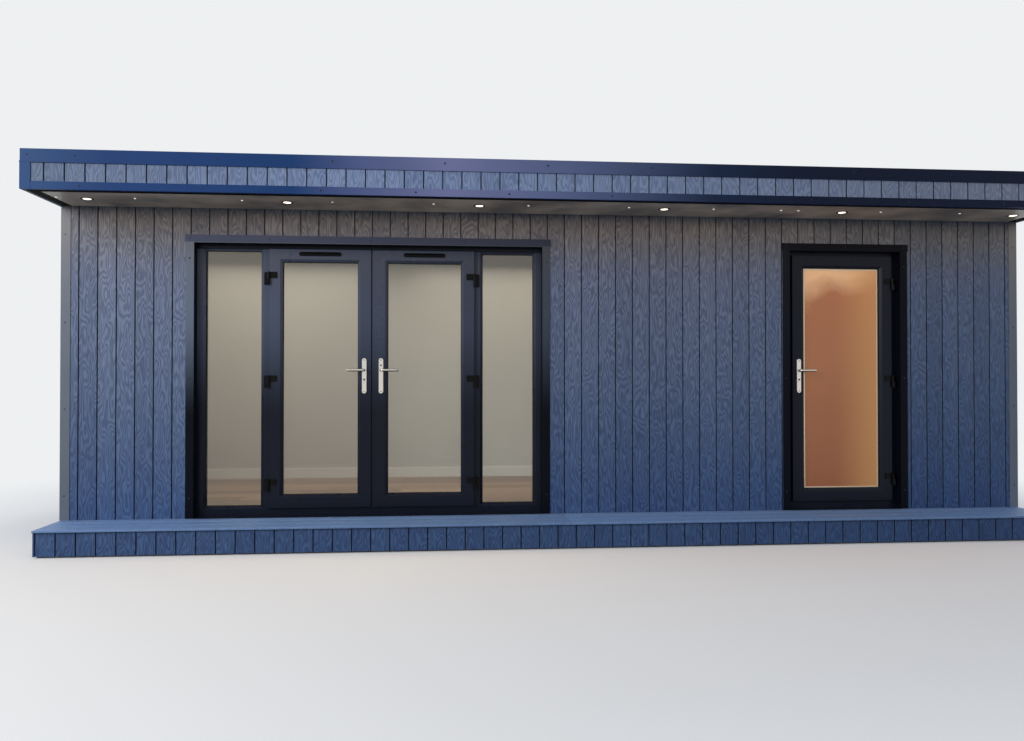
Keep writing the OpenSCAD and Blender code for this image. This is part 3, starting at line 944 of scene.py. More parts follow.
NAVY = "#1c3d72"
FINISHES: dict[str, Finish] = {
    # Composite cladding, embossed: a dull blue-grey with light catching its grain, and painted
    # shade, darker and bluer, towards the front's right end
    "cladding": CompositeBoard(
        "composite_cladding", "#5b6985", along=PaintedFrontLight(WHITE, ((0.9, WHITE), (2.9, "#d8e3ec")))
    ),
    # The same boards laid flat and walked on: smoother, and painted paler for the sky light on
    # their tops
    "decking": CompositeBoard(
        "composite_decking",
        "#6784ae",
        light="#7592b9",
        dark="#5b78a2",
        grain_mm=8.0,
        relief_mm=0.4,
        painted_low_shade=WHITE,
        grain=Grain.LENGTHWISE,
    ),
    # Tongue between two boards: near black as painted shade in the groove, with no shine
    "tongue": MouldedPlastic("shaded_tongue", "#0d1018", 0.85),
    # The fascia's boards: painted paler for the light they get with nothing overhanging them, with
    # painted shade at the left end and on the other sides, and painted warm light towards the right
    # end
    "fascia": CompositeBoard(
        "composite_fascia",
        "#7a8bae",
        light="#90a2c4",
        dark="#5c6d92",
        painted_warm_light=WHITE,
        along=PaintedFrontLight(
            "#bcc0c0", ((-3.6, "#bcc0c0"), (-1.4, WHITE), (0.8, "#fffaf4"), (3.0, "#fdeedb"))
        ),
    ),
    # Powder-coated roof trims: a satin navy, with painted sky light at the left end and a painted
    # pale highlight in the middle, and painted shade, near black, where the trees keep the sky off
    "roof_trim": CoatedSheet(
        "powder_coated_roof_trim",
        NAVY,
        0.45,
        mirror=0.1,
        along=PaintedFrontLight(
            NAVY,
            (
                (-3.6, "#2c4d7c"),
                (-3.1, NAVY),
                (-1.9, "#1e4072"),
                (-0.85, "#7a7ea5"),
                (0.0, "#5e6a8f"),
                (1.0, "#1d2c47"),
                (1.6, "#131c32"),
            ),
        ),
    ),
    # Powder-coated corner trims: the boards' blue-grey, but smooth
    "corner_trim": CoatedSheet("powder_coated_corner_trim", "#606975", 0.42, mirror=0.35),
    # Powder-coated trims round the doors: near black, with a painted grey sheen high up and towards
    # the left, and painted shade under the eaves
    "door_trim": CoatedSheet(
        "powder_coated_door_trim", "#0c0f18", 0.35, mirror=0.06, painted_sheen=PaintedSheenAndShade("#657284")
    ),
    # Foiled plastic door profiles: near black with a soft sheen, a painted grey sheen high up and
    # towards the left, and painted shade at the frame's top
    "profile": MouldedPlastic(
        "foiled_door_profile",
        "#111623",
        0.28,
        mirror=0.15,
        painted_sheen=PaintedSheenAndShade("#515b70", shade="#111623", shade_m=2.151),
    ),
    # Slotted strip that lets air into the roof: matt, and black as painted shade under the lower
    # trim
    "vent_strip": MouldedPlastic("black_vent_strip", "#050506", 0.8, mirror=0.1),
    # Warm-edge bar between the panes of the door's sealed unit: a pale grey line
    "spacer": SatinMetal("pale_spacer_bar", "#dcc6a6", metallic=0.6),
    # Rubber seals: black and matt
    "seal": MouldedPlastic("rubber_seal", "#0c0c0e", 0.7, fine_mm=0.8),
    # Sealed double glazing: clear, and as sharp as a mirror where it shines
    "clear": ClearPane("clear_sealed_glass", "#f2f6f5", 0.0),
    # Cast obscure glass: a painted warm glow for the light behind it, which the pattern breaks up
    "obscure": ObscurePane("obscure_sealed_glass", "#985d36", 0.35),
    # Satin-plated zinc of the levers and plates: the brightest metal on the pod, with painted shade
    # under the levers
    "handle": SatinMetal("satin_plated_zinc", "#dcd5cc"),
    # Nickel of the lock's plug and the plates' screws: dark beside the bright plates
    "plug": SatinMetal("dark_nickel_plug", "#3f3b38"),
    # Coated hinges: black, with a small sharp shine on their knuckles
    "hinge": MouldedPlastic("black_coated_hinge", "#030304", 0.3, mirror=0.12),
    # Soffit panel: pale, and softly shiny under the lamps
    "soffit": SoffitSheet("satin_soffit_panel", "#f0e2cc", 0.38),
    # Rubber roof membrane: dark, matt and faintly dimpled, drawn coarse so that it shows
    "membrane": MouldedPlastic("rubber_roof_membrane", "#2f3236", 0.75, fine_mm=9.0, relief_mm=0.8),
    # Emulsion on the inner walls: a flat off-white
    "paint": Paint("emulsion_wall_paint", "#c3c2bd", 0.7),
    # Gloss paint of the skirting board: whiter and smoother than the walls
    "board": Paint("painted_skirting", "#dddcd8", 0.45),
    # Laminate floor: oak planks with a satin top
    "floor": LaidFloor("oak_effect_laminate", "#8f745c", 0.35),
    # Treated softwood of the base and the step's frame: rough and yellow-brown
    "timber": SawnTimber("treated_softwood", "#97805c", 0.75),
    # Bronze rims of the downlights: a dark ring round each bright lens, darker still with painted
    # shade as they face down
    "lamp_rim": SatinMetal("bronze_lamp_rim", "#4a4038"),
    # Frosted lenses of the downlights: lit, so near white
    "lens": Glow("frosted_lamp_lens", "#fff6e8", 0.4),
    # Coated screw heads on the trims: dark dots
    "screw": SatinMetal("coated_screw_head", "#20242c", metallic=0.6),
    # Screw heads in the soffit, with a painted glow for the light of the ground below
    "cap": Glow("bright_screw_head", "#efe6d8", 0.3, strength=0.9),
    # Key slot: a black line in the plug
    "keyway": MouldedPlastic("key_slot", "#08080a", 0.6),
}


@dataclass
class Palette:
    """Every finish on the pod, made once and handed to the pieces by name."""

    made: dict[str, bpy.types.Material] = field(default_factory=dict)

    def mix(self) -> None:
        """Makes all the materials."""
        self.made |= {name: finish.material() for name, finish in FINISHES.items()}

    def dress(self, obj: Object, *names: str) -> Object:
        """Gives an object these finishes, in the order of its faces' numbers.

        Args:
            obj: the object.
            names: the finishes.

        Returns:
            The same object.
        """
        while len(obj.data.materials) < len(names):
            obj.data.materials.append(None)
        for i, slot in enumerate(obj.material_slots):
            slot.material = self.made[names[min(i, len(names) - 1)]]
        return obj


PALETTE = Palette()


def place_piece(
    obj: Object,
    finish: str | None = None,
    body: str = "root",
    stands_for: Sequence[str] = (),
) -> None:
    """Dresses a finished piece and hands it to the frame.

    Args:
        obj: the piece.
        finish: its finish, where its parts have none yet.
        body: the CAD body that it rides on.
        stands_for: the CAD nodes that it replaces.
    """
    if finish:
        PALETTE.dress(obj, finish)
    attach(obj, body)
    if stands_for:
        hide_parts(*stands_for)
    LOG.info("%s: %d faces on %s", obj.name, len(obj.data.polygons), body)


def corners(node: str) -> tuple[Vector, Vector]:
    """The lowest and highest corner of a CAD node."""
    low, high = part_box(node)
    return Vector(low), Vector(high)


# The pod's own measures, read from the CAD nodes

WALL_LOW, WALL_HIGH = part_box("back_wall")
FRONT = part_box("front_wall_left")[0][1]
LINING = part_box("front_wall_left")[1][1]
BACK = WALL_HIGH[1]
LEFT, RIGHT = WALL_LOW[0], WALL_HIGH[0]
BASE = WALL_LOW[2]
BOARD = 22 * MM
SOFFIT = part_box("soffit_panel")[0][2]
SIDES = (-1, 1)


class Side(Enum):
    """The way that a run of boards faces, as its turn from the front in degrees."""

    FRONT = 0
    RIGHT = 90
    BACK = 180
    LEFT = -90

    def along(self, low: float, high: float) -> tuple[float, float]:
        """A stretch of the row frame, measured in the run's own direction."""
        return (low, high) if self in (Side.FRONT, Side.RIGHT) else (-high, -low)

    def place(self, face: float) -> Matrix:
        """Puts a run that was modelled with its face at Y = 0 on its wall.

        Args:
            face: the wall's face, in Y or in X.

        Returns:
            The turn and shift.
        """
        turn = Matrix.Rotation(math.radians(self.value), 4, "Z")
        shift = (0, face, 0) if self in (Side.FRONT, Side.BACK) else (face, 0, 0)
        return Matrix.Translation(shift) @ turn


# For each side, the face of its wall and the middle of one of the grooves there
WALLS = {
    Side.FRONT: (FRONT, -3497 * MM),
    Side.BACK: (BACK, -3497 * MM),
    Side.LEFT: (LEFT, LINING),
    Side.RIGHT: (RIGHT, LINING),
}


@dataclass
class BoardRun:
    """Upright boards side by side, with softened edges over a tongue coloured as painted shade. In
    metres.
    """

    side: Side
    low: float
    high: float
    foot: float
    top: float
    # The run's face and the middle of one groove, where they aren't the wall's
    face: float | None = None
    groove_at: float | None = None
    course: str = "wall"
    finish: str = "cladding"
    # The boards' pitch, the grooves' width and depth, and how far the edges are softened
    pitch: float = 130 * MM
    gap: float = 7 * MM
    depth: float = 11 * MM
    edge: float = 2 * MM
    # How far a run stops short of its ends, and how near two places still count as one
    short: float = 0.1 * MM
    tiny: float = 0.3 * MM

    def one_board(self, name: str, x: float) -> Object:
        """Models one board from the middle of a groove to the middle of the next.

        Args:
            name: the piece's name.
            x: the first groove's middle.

        Returns:
            The board, with open sides.
        """
        end, half, tiny = x + self.pitch, self.gap / 2, self.tiny
        board = block(name, (x, 0, self.foot), (end, BOARD, self.top))
        start_edit(board)
        for step in (half - tiny, half, half + self.edge):
            cut((x + step, 0, 0), (1, 0, 0))
            cut((end - step, 0, 0), (1, 0, 0))
        for reach, push in ((half - tiny / 2, self.depth), (half + tiny, self.edge)):
            pick(board, "VERT", lambda p, n, r=reach: p.y < tiny and min(p.x - x, end - p.x) < r)
            bpy.ops.transform.translate(value=(0, push, 0))
        pick(board, "FACE", lambda c, n: abs(n.x) > 0.9 and min(c.x - x, end - c.x) < tiny / 2)
        bpy.ops.mesh.delete(type="FACE")
        end_edit()
        return board

    def build(self, name: str) -> Object:
        """Lays the boards, trims the run's ends and turns it to its wall.

        Args:
            name: the piece's name.

        Returns:
            The run, with its board and tongue faces numbered and each board's tone set.
        """
        face_at, groove_at = WALLS[self.side]
        face_at = face_at if self.face is None else self.face
        groove_at = groove_at if self.groove_at is None else self.groove_at
        start, end = self.side.along(self.low, self.high)
        phase = self.side.along(groove_at, groove_at)[0]
        first = math.floor((start - phase) / self.pitch) - 1
        last = math.ceil((end - phase) / self.pitch) + 1
        run = self.one_board(name, phase + first * self.pitch)
        merge = {"use_merge_vertices": True, "merge_threshold": self.short / 2}
        lay_out(run, last - first, (self.pitch, 0, 0), **merge)
        start_edit(run)
        cut((start + self.short, 0, 0), (1, 0, 0), drop_behind=True)
        cut((end - self.short, 0, 0), (-1, 0, 0), drop_behind=True)
        end_edit()
        tone = run.data.attributes.new("tone", "FLOAT", "FACE")
        for face in run.data.polygons:
            centre = face.center
            inner = self.edge * 1.05 < centre.y < BOARD - self.short
            at_end = min(centre.x - start, end - centre.x) < self.tiny
            face.material_index = int(inner and not at_end and abs(face.normal.z) < 0.5)
            number = math.floor((centre.x - phase) / self.pitch)
            seed = f"{self.course}{self.side.name}{number}"
            tone.data[face.index].value = random.Random(seed).random()
        run.data.transform(self.side.place(face_at))
        return PALETTE.dress(run, self.finish, "tongue")


def build_runs(runs: Sequence[BoardRun], name: str, node: str, core: Sequence[Object] = ()) -> None:
    """Builds runs of boards as one piece.

    Args:
        runs: the runs.
        name: the piece's name.
        node: the CAD node that it stands for.
        core: what stands behind the boards.
    """
    parts = [run.build(f"{node}_{i}") for i, run in enumerate(runs)]
    place_piece(joined(name, [*parts, *core]), stands_for=[node])


@dataclass
class Shell:
    """The pod's walls and skirts: boards outside and a lined, painted core inside."""

    def wall(self, node: str, runs: Sequence[BoardRun]) -> None:
        """Builds one wall from its boards and its core.

        Args:
            node: the CAD node that it stands for.
            runs: its runs of boards.
        """
        box = [list(corner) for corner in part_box(node)]
        # For each side, which corner and axis of the core the boards push inwards
        inwards = {
            Side.FRONT: (0, 1, BOARD),
            Side.BACK: (1, 1, -BOARD),
            Side.LEFT: (0, 0, BOARD),
            Side.RIGHT: (1, 0, -BOARD),
        }
        for run in runs:
            corner, axis, shift = inwards[run.side]
            box[corner][axis] = WALLS[run.side][0] + shift
        core = soften(block(node + "_core", *map(tuple, box)), 1 * MM, 1)
        build_runs(runs, "clad_" + node, node, [PALETTE.dress(core, "paint")])

    def build(self) -> None:
        """Builds the eight walls and the base's skirt."""
        top, foot, flanks = WALL_HIGH[2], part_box("base_skirt")[0][2], (Side.LEFT, Side.RIGHT)
        # The flanks' own boards end at the linings of the front and back walls
        inner, back = BACK - (LINING - FRONT), BACK - BOARD
        ends = [BoardRun(side, FRONT + BOARD, LINING, BASE, top) for side in flanks]
        for name, extra in (
            ("left", ends[:1]),
            ("middle", []),
            ("right", ends[1:]),
            ("over_french", []),
            ("over_door", []),
        ):
            low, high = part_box("front_wall_" + name)
            front = BoardRun(Side.FRONT, low[0], high[0], low[2], top)
            self.wall("front_wall_" + name, [front, *extra])
        for side in flanks:
            self.wall(side.name.lower() + "_wall", [BoardRun(side, LINING, inner, BASE, top)])
        ends = [BoardRun(side, inner, back, BASE, top) for side in flanks]
        self.wall("back_wall", [BoardRun(Side.BACK, LEFT, RIGHT, BASE, top), *ends])
        skirt = [BoardRun(side, FRONT, back, foot, BASE) for side in flanks]
        skirt.append(BoardRun(Side.BACK, LEFT, RIGHT, foot, BASE))
        build_runs(skirt, "clad_base_skirt", "base_skirt")


@dataclass
class Step:
    """The step: rows of deck boards along it, each in two lengths, over a boarded skirt."""

    rows: int = 3
    # The gaps between the rows and between the lengths, and a groove's place in the skirt
    gap: float = 4 * MM
    butt: float = 3 * MM
    groove_at: float = -2950 * MM

    def build(self) -> None:
        """Builds the boards and the skirt."""
        low, high = corners("step_tread")
        width = (high.y - low.y - self.gap * (self.rows - 1)) / self.rows
        half = (high.x - low.x - self.butt) / 2
        tread = block("step_boards", low, (low.x + half, low.y + width, high.z))
        soften(tread, 2.5 * MM, 3)
        lay_out(tread, self.rows, (0, width + self.gap, 0))
        lay_out(tread, 2, (half + self.butt, 0, 0))
        tone = tread.data.attributes.new("tone", "FLOAT", "FACE")
        for face in tread.data.polygons:
            row = math.floor((face.center.y - low.y) / (width + self.gap))
            seed = f"tread{row}{face.center.x > 0}"
            tone.data[face.index].value = random.Random(seed).random()
        place_piece(tread, "decking", stands_for=["step_tread"])
        low, high = corners("step_skirt")
        side, tall = (low.y + BOARD, high.y), (low.z, high.z)
        runs = [
            BoardRun(Side.FRONT, low.x, high.x, *tall, low.y, self.groove_at, "step"),
            BoardRun(Side.LEFT, *side, *tall, low.x, FRONT, "step"),
            BoardRun(Side.RIGHT, *side, *tall, high.x, FRONT, "step"),
        ]
        build_runs(runs, "clad_step_skirt", "step_skirt")


@dataclass
class ScrewHead:
    """A domed screw head with a shallow drive recess. In metres."""

    radius: float = 6.5 * MM
    height: float = 2.4 * MM

    def model(self) -> Object:
        """Models one head, standing up from the origin.

        Returns:
            The head.
        """
        head = disc("screw_head", self.radius, self.height * 0.5, 12)
        start_edit(head)
        pick(head, "FACE", lambda c, n: n.z > 0.9)
        # The dome's shoulder, its top and the recess, as shares of the head's own size
        for inset, rise in ((0.28, 0.36), (0.3, 0.14), (0.14, -0.3)):
            bpy.ops.mesh.inset(thickness=self.radius * inset)
            bpy.ops.transform.translate(value=(0, 0, self.height * rise))
        end_edit()
        return head

    def fix(
        self,
        name: str,
        spots: Sequence[tuple[Point, Point]],
        finish: str = "screw",
        body: str = "root",
        slot: str = "trim",
    ) -> None:
        """Drives a set of screws.

        Args:
            name: the piece's name.
            spots: for each screw its foot and the way it stands.
            finish: the heads' finish.
            body: the CAD body that they ride on.
            slot: not used.
        """
        places = [
            Matrix.Translation(at) @ Vector(way).to_track_quat("Z", "Y").to_matrix().to_4x4()
            for at, way in spots
        ]
        place_piece(copies(name, self.model(), places), finish, body)


@dataclass
class Roof:
    """The roof: boarded fascia, trims with their screws, soffit with lamps, and membrane."""

    lamps: Sequence[float] = tuple(-3.339 + 1.3508 * k for k in range(6))
    lamp_y: float = -1.15
    # A lamp's lens, and how far its upper face lies below the soffit's
    lens_radius: float = 27.2 * MM
    lens_height: float = 1.1 * MM
    lens_drop: float = 0.2 * MM
    # How far the roof trim's hem stands out from its face
    hem: float = 3 * MM
    # How far the membrane falls to the back, its thickness, and its laps' places and width
    fall: float = 35 * MM
    skin: float = 1.2 * MM
    laps: Sequence[float] = (-1.25, 1.2)
    lap: float = 75 * MM
    # Where the screws of the roof's trims show in the photograph, in millimetres; past the
    # photograph's edge and on the right they go on at the same spacing
    upper_screws: Sequence[float] = (
        -3603, -3303, -2394, -1640, -883, -176, 554, 1284, 2014, 2744, 3303, 3603
    )  # fmt: skip
    lower_screws: Sequence[float] = (
        -3273, -2491, -1716, -1080, -443, 270, 980, 1700, 2420, 3140
    )  # fmt: skip
    # Their rows' places below the roof's top and above the soffit
    upper_drop: float = 38 * MM
    lower_rise: float = 26 * MM
    # The trims' screws at the ends of the roof, and the corner trims' screws in height
    end_screws: Sequence[float] = tuple(-1.15 + 0.76 * k for k in range(4))
    corner_rows: Sequence[float] = (0.36, 0.98, 1.6, 2.23)
    corner_inset: float = 31 * MM
    # Where the caps over the soffit's screws show in the photograph, in millimetres, and how
    # far in front of the lamps
    caps: Sequence[float] = (
        -3527, -3007, -2289, -1671, -964, -288, 444, 1072, 1581, 1711, 2346, 2964
    )  # fmt: skip
    caps_ahead: float = 35 * MM
    # The vent strip's depth below the soffit, its width along the front and at the ends, its
    # distance from the wall, and its ribs' first place, width and pitches
    strip_depth: float = 2.5 * MM
    strip: float = 42 * MM
    end_strip: float = 72 * MM
    strip_gap: float = 5 * MM
    rib_from: float = 3 * MM
    rib: float = 5 * MM
    rib_pitch: float = 13 * MM
    end_rib_pitch: float = 12 * MM

    def fascia(self) -> None:
        """Builds the four runs of fascia boards."""
        low, high = corners("fascia_boards")
        side, tall = (low.y + BOARD, high.y - BOARD), (low.z, high.z)
        runs = (
            (Side.FRONT, low.x, high.x, *tall, low.y),
            (Side.BACK, low.x, high.x, *tall, high.y),
            (Side.LEFT, *side, *tall, low.x),
            (Side.RIGHT, *side, *tall, high.x),
        )
        boards = [BoardRun(*run, course="fascia", finish="fascia") for run in runs]
        build_runs(boards, "clad_fascia", "fascia_boards")

    def screws(self) -> None:
        """Fixes the screws of the roof's trims, all round."""
        high = corners("roof_edge_trim")[1]
        face = Vector((high.x - self.hem, high.y - self.hem))
        spots: list[tuple[Point, Point]] = []
        for z, screws in (
            (high.z - self.upper_drop, self.upper_screws),
            (SOFFIT + self.lower_rise, self.lower_screws),
        ):
            for side in SIDES:
                spots += [((x * MM, side * face.y, z), (0, side, 0)) for x in screws]
                spots += [((side * face.x, y, z), (side, 0, 0)) for y in self.end_screws]
        ScrewHead().fix("roof_trim_screws", spots)

    def corner_screws(self) -> None:
        """Fixes the screws of the four corner trims, one row on each face."""
        low, high = corners("corner_trims")
        spots: list[tuple[Point, Point]] = []
        for z in self.corner_rows:
            for side in SIDES:
                for end, y in zip(SIDES, (low.y, high.y), strict=True):
                    x = side * (high.x - self.corner_inset)
                    spots.append(((x, y, z), (0, end, 0)))
                    spots.append(((side * high.x, y - end * self.corner_inset, z), (side, 0, 0)))
        ScrewHead(5 * MM, 1.8 * MM).fix("corner_trim_screws", spots)

    def lights(self) -> None:
        """Puts the glowing lenses into the soffit's lamps and the caps beside them."""
        lens = soften(disc("lamp_lens", self.lens_radius, self.lens_height, 40), 0.4 * MM)
        foot = SOFFIT - self.lens_drop - self.lens_height
        places = [Matrix.Translation((x, self.lamp_y, foot)) for x in self.lamps]
        place_piece(copies("lamp_lenses", lens, places), "lens")
        y = self.lamp_y - self.caps_ahead
        caps = [((x * MM, y, SOFFIT), (0, 0, -1)) for x in self.caps]
        ScrewHead(7.5 * MM, 3 * MM).fix("soffit_screw_caps", caps, "cap", slot="soffit")

    def vent_strip(self) -> None:
        """Fits the ribbed strip that airs the roof, black as painted shade under the lower trim,
        round the soffit's edge.
        """
        low, high = corners("soffit_panel")
        foot, wall, start = SOFFIT - self.strip_depth, FRONT - self.strip_gap, low.y + self.strip
        bars = [((low.x, low.y), (high.x, start), 1)]
        rows = [low.y + self.rib_from + self.rib_pitch * k for k in range(3)]
        bars += [((low.x, row), (high.x, row + self.rib), 0) for row in rows]
        for side in SIDES:
            strips = [(0, self.end_strip, 1)]
            ribs = [self.rib_from + self.end_rib_pitch * k for k in range(6)]
            strips += [(rib, rib + self.rib, 0) for rib in ribs]
            for near, away, flat in strips:
                ends = sorted((side * (high.x - near), side * (high.x - away)))
                bars.append(((ends[0], start), (ends[1], wall), flat))
        parts = [
            soften(block("bar", (*near, foot + flat * MM), (*away, SOFFIT)), 0.4 * MM, 1)
            for near, away, flat in bars
        ]
        place_piece(joined("soffit_vent_strip", parts), "vent_strip")

    def membrane(self) -> None:
        """Lays the membrane's welded laps along its fall, and dresses it up the kerb."""
        low, high = corners("roof_membrane")
        kerb, foot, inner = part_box("roof_core")[1][2], high.z - 0.5 * MM, low.y + self.skin
        laps = [
            ((x, inner, foot), (x + self.lap, high.y - 1 * MM, high.z + 1.6 * MM))
            for x in self.laps
        ]
        upstands = [
            ((low.x, low.y, foot), (high.x, inner, kerb)),
            ((low.x, inner, foot), (low.x + self.skin, high.y, kerb)),
            ((high.x - self.skin, inner, foot), (high.x, high.y, kerb)),
        ]
        for name, sheets, top in (
            ("membrane_laps", laps, kerb),
            ("membrane_upstands", upstands, high.z),
        ):
            parts = []
            for near, away in sheets:
                sheet = block("sheet", near, away)
                start_edit(sheet)
                pick(sheet, "VERT", lambda p, n, top=top: p.y > 0 and p.z < top)
                bpy.ops.transform.translate(value=(0, 0, -self.fall))
                end_edit()
                parts.append(soften(sheet, 0.3 * MM))
            place_piece(joined(name, parts), "membrane")

    def build(self) -> None:
        """Builds the roof's pieces in order."""
        self.fascia()
        self.screws()
        self.lights()
        self.corner_screws()
        self.vent_strip()
        self.membrane()


@dataclass
class Doorway:
    """One door set in the front, with the screws of its folded trims."""

    name: str
    low: float
    high: float
    head_screws: Sequence[float]
    side_screws: Sequence[float] = (2.07, 1.2, 0.33)
    # The trims' thickness, the head's screws below its top, and the sides' beside the frame
    trim: float = 4 * MM
    head_drop: float = 27 * MM
    beside: float = 30 * MM

    def build(self) -> None:
        """Fixes the screws of the folded trims."""
        y, top = FRONT - self.trim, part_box("door_trims")[1][2] - self.head_drop
        places = [(x, top) for x in self.head_screws]
        for x in (self.low - self.beside, self.high + self.beside):
            places += [(x, z) for z in self.side_screws]
        spots = [((x, y, z), (0, -1, 0)) for x, z in places]
        ScrewHead(6 * MM, 2.2 * MM).fix(self.name + "_trim_screws", spots)


@dataclass
class Leaf:
    """A hinged leaf's small parts: seals, key cylinders and the screws of its fittings."""

    name: str
    keyed: bool = True
    # How far the glass reaches into the sash, the key's place below the spindle, and the
    # handle plate's thickness and top above the spindle
    bite: float = 11 * MM
    key_drop: float = 70 * MM
    plate: float = 9 * MM
    plate_top: float = 90 * MM
    # A keyless plate's blanked hole, above the spindle
    rise: float = 36 * MM
    # The plates' screws from their ends, and the glass seals' width and depth
    screw_inset: float = 16 * MM
    seal: float = 4 * MM
    seal_depth: float = 3 * MM

    @property
    def body(self) -> str:
        """The CAD body that the leaf's parts ride on."""
        return self.name + "_door"

    def seals(self) -> None:
        """Puts a rubber seal round the glass on both faces."""
        low, high = corners(self.name + "_glass")
        parts = [
            strip_frame(
                "seal",
                (low.x + self.bite, y, low.z + self.bite),
                (high.x - self.bite, y + self.seal_depth, high.z - self.bite),
                self.seal,
            )
            for y in (low.y - self.seal_depth, high.y)
        ]
        seals = joined(self.name + "_glass_seals", parts)
        place_piece(seals, "seal", self.body)

    def fittings(self) -> None:
        """Puts the key plugs into the handle plates, or blanks the hole, and drives the screws."""
        low, high = corners(self.name + "_plates")
        leaf = corners(self.name + "_leaf")
        x, spindle = (low.x + high.x) / 2, high.z - self.plate_top
        out = Matrix.Rotation(math.pi / 2, 4, "X")
        if self.keyed:
            z = spindle - self.key_drop
            places = [
                Matrix.Translation((x, low.y, z)) @ out,
                Matrix.Translation((x, high.y, z)) @ Matrix.Rotation(math.pi, 4, "Z") @ out,
            ]
            plug = soften(disc("plug", 7.4 * MM, 0.8 * MM, 28), 0.3 * MM)
            slot = block("slot", (-0.9 * MM, -4.4 * MM, 0.7 * MM), (0.9 * MM, 4.4 * MM, 1 * MM))
            for model, finish, kind in (
                (plug, "plug", "handle_metal"),
                (soften(slot, 0.12 * MM, 1), "keyway", "black_plastic"),
            ):
                piece = copies(f"{self.name}_key_{model.name}", model, places)
                place_piece(piece, finish, self.body)
        else:
            place = Matrix.Translation((x, leaf[0].y - self.plate, spindle + self.rise)) @ out
            model = soften(disc("plug", 6.5 * MM, 0.8 * MM, 28), 0.3 * MM)
            piece = copies(self.name + "_blank_plug", model, [place])
            place_piece(piece, "plug", self.body)
        spots = [
            ((x, y, z), (0, way, 0))
            for y, way in ((leaf[0].y - self.plate, -1), (leaf[1].y + self.plate, 1))
            for z in (low.z + self.screw_inset, high.z - self.screw_inset)
        ]
        head, name = ScrewHead(4.2 * MM, 1.2 * MM), self.name + "_plate_screws"
        head.fix(name, spots, "plug", self.body, "handle_metal")

    def build(self) -> None:
        """Builds the leaf's small parts."""
        self.seals()
        self.fittings()


@dataclass
class DoorSet:
    """The French set between its fixed lights, and the single door."""

    doorways: Sequence[Doorway] = (
        Doorway("french", -2.695, -0.155, (-2.725, -2.16, -1.425, -0.735, -0.13)),
        Doorway("single", 1.765, 2.655, (1.735, 2.21, 2.685)),
    )
    leaves: Sequence[Leaf] = (
        Leaf("french_left"),
        Leaf("french_right", keyed=False),
        Leaf("single"),
    )
    # The clear width of each fixed light, its height, and where its two seals start in depth
    lights: Sequence[tuple[float, float]] = ((-2.635, -2.235), (-0.603, -0.215))
    light_foot: float = 0.257
    light_top: float = 2.140
    light_seals: Sequence[float] = (-0.822, -0.795)
    # The seal on the left leaf's meeting edge, between these corners
    meeting_low: Point = (-1.4495, -0.850, 0.25)
    meeting_high: Point = (-1.4245, -0.842, 2.151)

    def build(self) -> None:
        """Builds the small parts of all the doors and fixed lights."""
        for unit in (*self.doorways, *self.leaves):
            unit.build()
        foot, top = self.light_foot, self.light_top
        parts = [
            strip_frame("seal", (low, y, foot), (high, y + Leaf.seal_depth, top), Leaf.seal)
            for low, high in self.lights
            for y in self.light_seals
        ]
        place_piece(joined("fixed_light_seals", parts), "seal")
        strip = soften(block("meeting_seal", self.meeting_low, self.meeting_high), 1 * MM)
        place_piece(strip, "seal", "french_left_door")
        self.spacer()

    def spacer(self) -> None:
        """Puts the pale bar round the single door's obscure glass, just inside its seal."""
        door = self.leaves[-1]
        low, high = corners(door.name + "_glass")
        inset = door.bite + door.seal
        bar = strip_frame(
            "single_spacer_bar",
            (low.x + inset, low.y - 1 * MM, low.z + inset),
            (high.x - inset, low.y + 0.5 * MM, high.z - inset),
            11 * MM,
        )
        place_piece(bar, "spacer", door.body)


# For each finish, the CAD nodes that stay and take it
NODES = {
    "timber": ("base_slab", "step_rails", "step_joists"),
    "floor": ("floor_deck",),
    "corner_trim": ("corner_trims",),
    "door_trim": ("door_trims",),
    "profile": ("door_sills", "french_frame", "single_frame", "*_leaf"),
    "paint": ("roof_core",),
    "membrane": ("roof_membrane",),
    "roof_trim": ("roof_edge_trim", "fascia_lower_trim"),
    "soffit": ("soffit_panel",),
    "lamp_rim": ("downlights",),
    "board": ("skirting_board",),
    "clear": ("sidelight_glass", "french_*_glass"),
    "obscure": ("single_glass",),
    "hinge": ("hinge_bases", "*_hinges", "*_vent"),
    "handle": ("*_plates", "*_lever"),
}


def dress_nodes() -> None:
    """Gives every CAD node that stays its finish."""
    for node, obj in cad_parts.items():
        for finish, patterns in NODES.items():
            if any(fnmatch(node, pattern) for pattern in patterns):
                PALETTE.dress(obj, finish)


